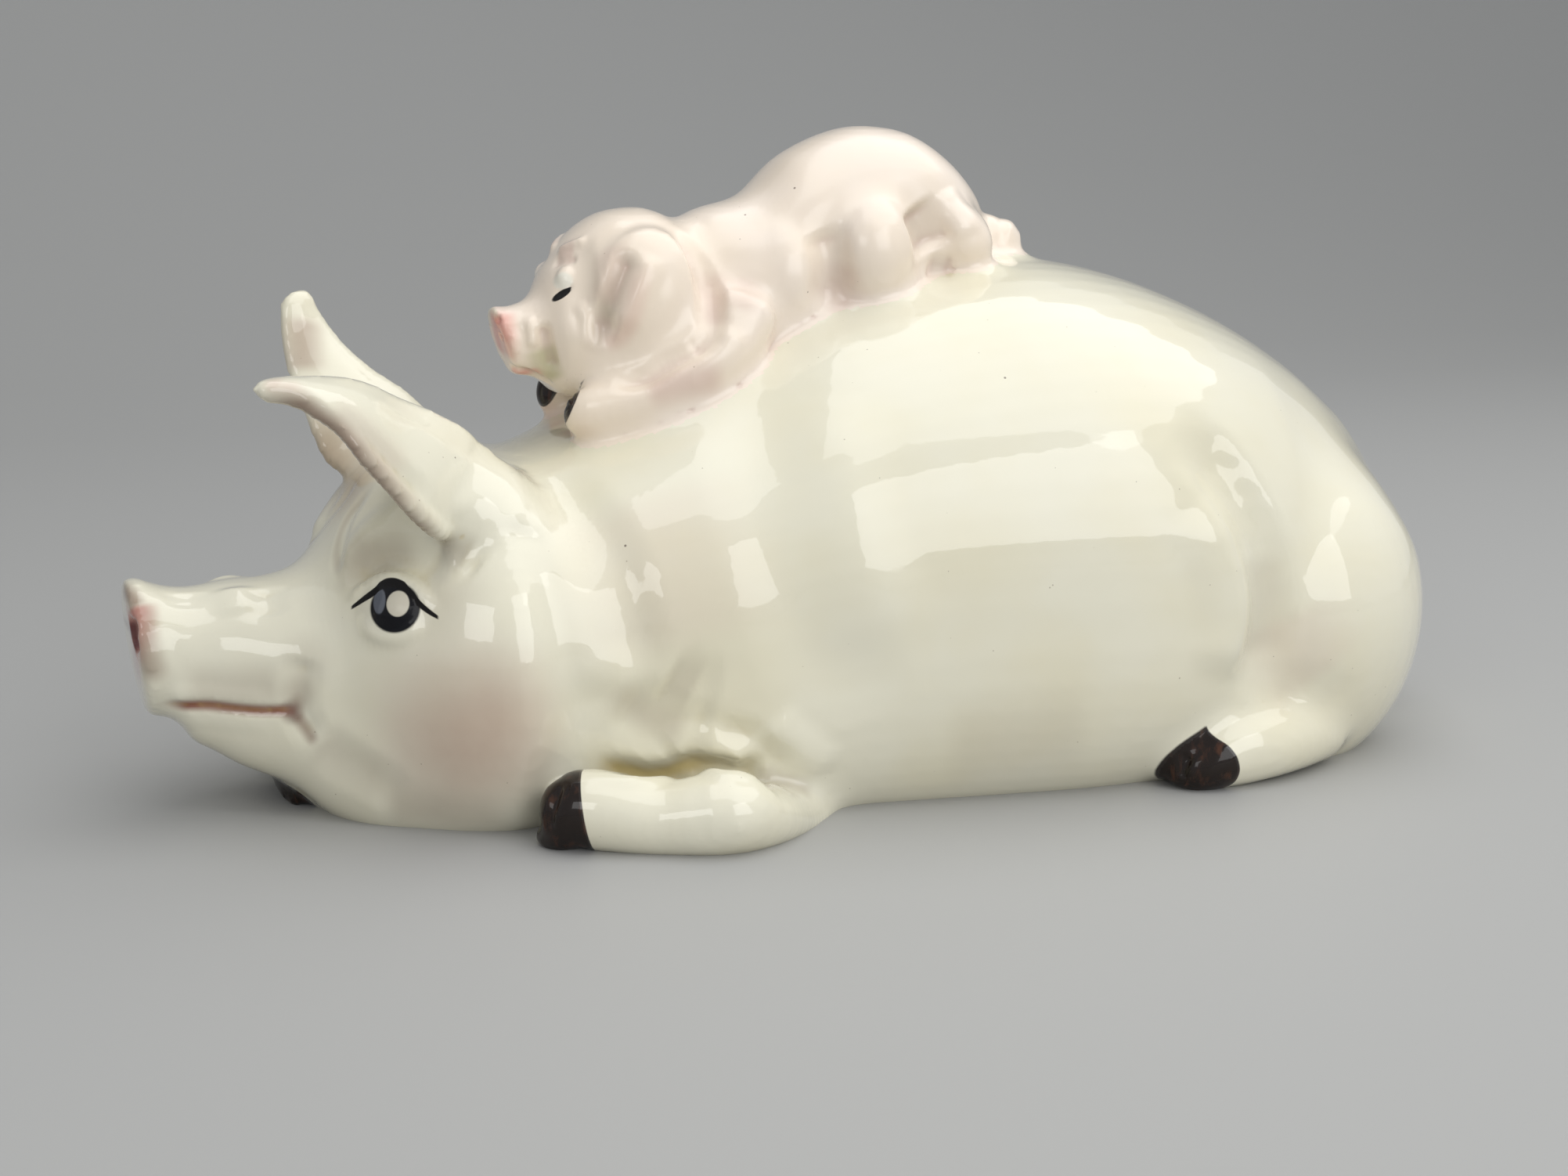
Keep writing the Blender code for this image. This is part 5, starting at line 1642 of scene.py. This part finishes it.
def paint_piglet_eyes(recipe):
    """The piglet's slanted dark eye marks, and pale lids that are a painted highlight, in pixels."""
    across, rise = from_point(recipe, PIGLET_EYE_PLACE)
    turned = 0.87 * across + 0.49 * rise
    square = 0.87 * rise - 0.49 * across
    # a painted highlight on the lid's bump
    lid_highlight = oval(across, rise, (2.0, 18.0), (13.0, 11.0), 0.3)
    colour = recipe.mix(lid_highlight * 0.8, recipe.colour, PIGLET_LID_HIGHLIGHT)
    mark = oval(turned, square, (0.0, 0.0), (14.5, 5.2), 0.12)
    tail = oval(turned, square, (9.0, 1.5), (7.0, 2.2), 0.2)
    colour = recipe.mix(mark.most(tail), colour, PIGLET_EYE_BLACK)
    recipe.set("Coat Weight", 1.0 - 0.75 * mark.most(tail))
    recipe.set("Base Color", colour)


def colour_clay(clay):
    """Sprays every underglaze colour and all the painted shade onto the worked skin."""
    colours = bpy.context.scene.figurine_colours
    clay.spray(SOW_SPRAYS + PIGLET_SPRAYS, mirrored=True)
    for faces, colour in ((NOSE_FACE, colours.nose), (PIGLET_NOSE_FACE, colours.piglet_nose)):
        clay.spray([(pixels, radius, tuple(colour), share) for pixels, radius, share in faces])
    clay.spray(NOSTRIL_SPRAYS + NEAR_EAR_SPRAYS + FAR_EAR_SPRAYS + ARM_SPRAYS)
    # brown along the near ear's lower rim: underglaze, with painted shade under the rolled rim
    crown = np.array((NECK_X, 0.0, CROWN_HEIGHT))
    rim = [crown + low for low, *_rest in LEFT_EAR_ROWS[1:]]
    clay.brush(rim, EAR_RIM_REACH, np.array(BROWN_LINE_AND_SHADE), EAR_RIM_STRENGTH)


class FIGURINE_OT_work_clay(bpy.types.Operator):
    """Fuse the castings, work their folds and spray their colours"""

    bl_idname = "figurine.work_clay"
    bl_label = "Work the clay"

    def execute(self, context):
        sizes = context.scene.figurine_sizes
        trunk = trunk_form()
        clay = Clay(fused(sow_forms(trunk) + piglet_forms(trunk), sizes.skin_detail / MM))
        clay.smooth(FUSED_SMOOTHING)
        clay.fill(sizes.seam_filling)
        clay.smooth(FUSED_SMOOTHING)
        clay.melt(HAUNCH_SEAM, *HAUNCH_MELT, mirrored=True)
        clay.work(SOW_FOLDS + BROW_FOLDS, mirrored=True)
        clay.work(SHOULDER_FOLDS)
        for pixels, (spacing, radius, rounds) in ((EAR_ROOT, EAR_MELT), (ELBOW_END, ELBOW_MELT)):
            clay.melt(clay.route(pixels, spacing), radius, rounds)
        clay.smooth(WORKED_SMOOTHING)
        clay.refine(lambda places: cut_finer(trunk, places))
        clay.work(PIGLET_FOLDS, mirrored=True)
        clay.smooth(PIGLET_SMOOTHING, on_piglet(trunk, clay.places).astype(float))
        clay.work(FACE_LINES + PIGLET_LINES, mirrored=True)
        clay.work(NOSTRILS + CLEFTS)
        clay.smooth(WORKED_SMOOTHING)
        clay.settle()
        colour_clay(clay)
        clay_mesh(clay, trunk).name = CLAY
        return {"FINISHED"}


class FIGURINE_OT_part_sow(bpy.types.Operator):
    """Part the sow's head and trunk from the worked clay, and glaze them"""

    bl_idname = "figurine.part_sow"
    bl_label = "Part the sow"

    def execute(self, context):
        ivory = context.scene.figurine_colours.ivory
        bare = bisque()
        ears, legs = both_sides("sow", "ear"), both_sides("sow", "foreleg", "hind_leg")
        for name, part, slot, nodes in (
            ("sow_head_glaze", HEAD_PART, "ivory_glaze", ("sow_head", *ears)),
            ("sow_trunk_glaze", TRUNK_PART, "ivory_glaze", ("sow_trunk", "sow_tail", *legs)),
            ("sow_nose_glaze", NOSE_PART, "nose_glaze", ("sow_nose",)),
        ):
            piece = part_off(name, part, slot, *nodes)
            glaze = glazed(f"{name}_ivory", ivory, OCHRE)
            if part == HEAD_PART:
                paint_eyes(glaze)
            piece.data.materials.append(glaze.material)
            piece.data.materials.append(bare)
        return {"FINISHED"}


class FIGURINE_OT_part_piglet(bpy.types.Operator):
    """Part the piglet from the worked clay, and glaze it"""

    bl_idname = "figurine.part_piglet"
    bl_label = "Part the piglet"

    def execute(self, context):
        glaze = glazed("piglet_pink", context.scene.figurine_colours.pink, ROSE_AND_SHADE, gloss=0.24)
        paint_piglet_eyes(glaze)
        paired = both_sides("piglet", "ear", "foreleg", "hind_leg")
        body = ("piglet_head", "piglet_body", "piglet_tail", *paired)
        for name, part, slot, nodes in (
            ("piglet_glaze", PIGLET_PART, "pink_glaze", body),
            ("piglet_nose_glaze", PIGLET_NOSE_PART, "piglet_nose_glaze", ("piglet_nose",)),
        ):
            piece = part_off(name, part, slot, *nodes)
            piece.data.materials.append(glaze.material)
            piece.data.materials.append(bpy.data.materials["bisque"])
        return {"FINISHED"}


class FIGURINE_OT_part_hooves(bpy.types.Operator):
    """Part the dark hooves from the worked clay, and glaze them"""

    bl_idname = "figurine.part_hooves"
    bl_label = "Part the hooves"

    def execute(self, context):
        glaze = hoof_glaze()
        for number, (name, *_border) in enumerate(HOOVES):
            piece = part_off(f"{name}_glaze", HOOF_PART + number, "hoof_glaze", name)
            piece.data.materials.append(glaze)
            piece.data.materials.append(bpy.data.materials["bisque"])
        return {"FINISHED"}


def lay_table():
    """The paper sweep that the figurine stands on, curved up behind it."""
    mesh = bpy.data.meshes.new("table")
    bm = bmesh.new()
    bmesh.ops.create_grid(bm, x_segments=48, y_segments=48, size=SWEEP_HALF_WIDTH)
    for vertex in bm.verts:
        beyond = vertex.co.y - SWEEP_START
        if beyond > 0.0:
            angle = min(beyond / SWEEP_RADIUS, 0.5 * math.pi)
            rest = max(0.0, beyond - 0.5 * math.pi * SWEEP_RADIUS)
            vertex.co.y = SWEEP_START + SWEEP_RADIUS * math.sin(angle)
            vertex.co.z = SWEEP_RADIUS * (1.0 - math.cos(angle)) + rest
    bm.to_mesh(mesh)
    bm.free()
    mesh.shade_smooth()
    linked("table", mesh)
    material = bpy.data.materials.new("table")
    material.use_nodes = True
    shader = material.node_tree.nodes["Principled BSDF"]
    shader.inputs["Base Color"].default_value = (*PAPER, 1.0)
    shader.inputs["Roughness"].default_value = 0.6
    mesh.materials.append(material)


def hang_lamp(name, place, size, power):
    """A square soft lamp that faces the figurine."""
    lamp = bpy.data.lights.new(name, "AREA")
    lamp.shape = "SQUARE"
    lamp.size = size
    lamp.energy = power
    holder = linked(name, lamp)
    holder.location = place
    holder.rotation_euler = (LAMPS_AIM - holder.location).to_track_quat("-Z", "Y").to_euler()


def light_room():
    """An even pale light from all round."""
    world = bpy.data.worlds.new("room")
    world.use_nodes = True
    light = world.node_tree.nodes["Background"]
    light.inputs["Color"].default_value = ROOM_COLOUR
    light.inputs["Strength"].default_value = ROOM_STRENGTH
    bpy.context.scene.world = world


def set_camera():
    """The camera, where the photograph was taken from."""
    camera = bpy.data.cameras.new("camera")
    camera.sensor_width = SENSOR_WIDTH
    camera.lens = SENSOR_WIDTH * CAMERA_FOCUS_PIXELS / PHOTO_WIDTH
    holder = linked("camera", camera)
    place, ahead, _right, _up = camera_axes()
    holder.location = place
    holder.rotation_euler = ahead.to_track_quat("-Z", "Y").to_euler()
    bpy.context.scene.camera = holder


class FIGURINE_OT_set_stage(bpy.types.Operator):
    """Set the table, the lamps and the camera"""

    bl_idname = "figurine.set_stage"
    bl_label = "Set the stage"

    def execute(self, context):
        lay_table()
        for lamp in LAMPS:
            hang_lamp(*lamp)
        light_room()
        set_camera()
        context.scene.view_settings.view_transform = "Standard"
        return {"FINISHED"}


class FIGURINE_PT_steps(bpy.types.Panel):
    """The steps that make the figurine, in order"""

    bl_idname = "FIGURINE_PT_steps"
    bl_label = "Sow and piglet"
    bl_space_type = "VIEW_3D"
    bl_region_type = "UI"
    bl_category = "Figurine"

    def draw(self, context):
        for name in ("work_clay", "part_sow", "part_piglet", "part_hooves", "set_stage"):
            self.layout.operator(f"figurine.{name}")
        sizes, colours = context.scene.figurine_sizes, context.scene.figurine_colours
        for name in ("skin_detail", "seam_filling", "pour_hole"):
            self.layout.prop(sizes, name)
        for name in ("ivory", "pink", "nose", "piglet_nose", "hoof", "bisque"):
            self.layout.prop(colours, name)


CLASSES = (
    FigurineSizes,
    FigurineColours,
    FIGURINE_OT_work_clay,
    FIGURINE_OT_part_sow,
    FIGURINE_OT_part_piglet,
    FIGURINE_OT_part_hooves,
    FIGURINE_OT_set_stage,
    FIGURINE_PT_steps,
)


def register():
    for item in CLASSES:
        bpy.utils.register_class(item)
    bpy.types.Scene.figurine_sizes = PointerProperty(type=FigurineSizes)
    bpy.types.Scene.figurine_colours = PointerProperty(type=FigurineColours)


def unregister():
    del bpy.types.Scene.figurine_colours
    del bpy.types.Scene.figurine_sizes
    for item in reversed(CLASSES):
        bpy.utils.unregister_class(item)


def main():
    register()
    bpy.ops.figurine.work_clay()
    bpy.ops.figurine.part_sow()
    bpy.ops.figurine.part_piglet()
    bpy.ops.figurine.part_hooves()
    bpy.ops.figurine.set_stage()


if __name__ == "__main__":
    main()
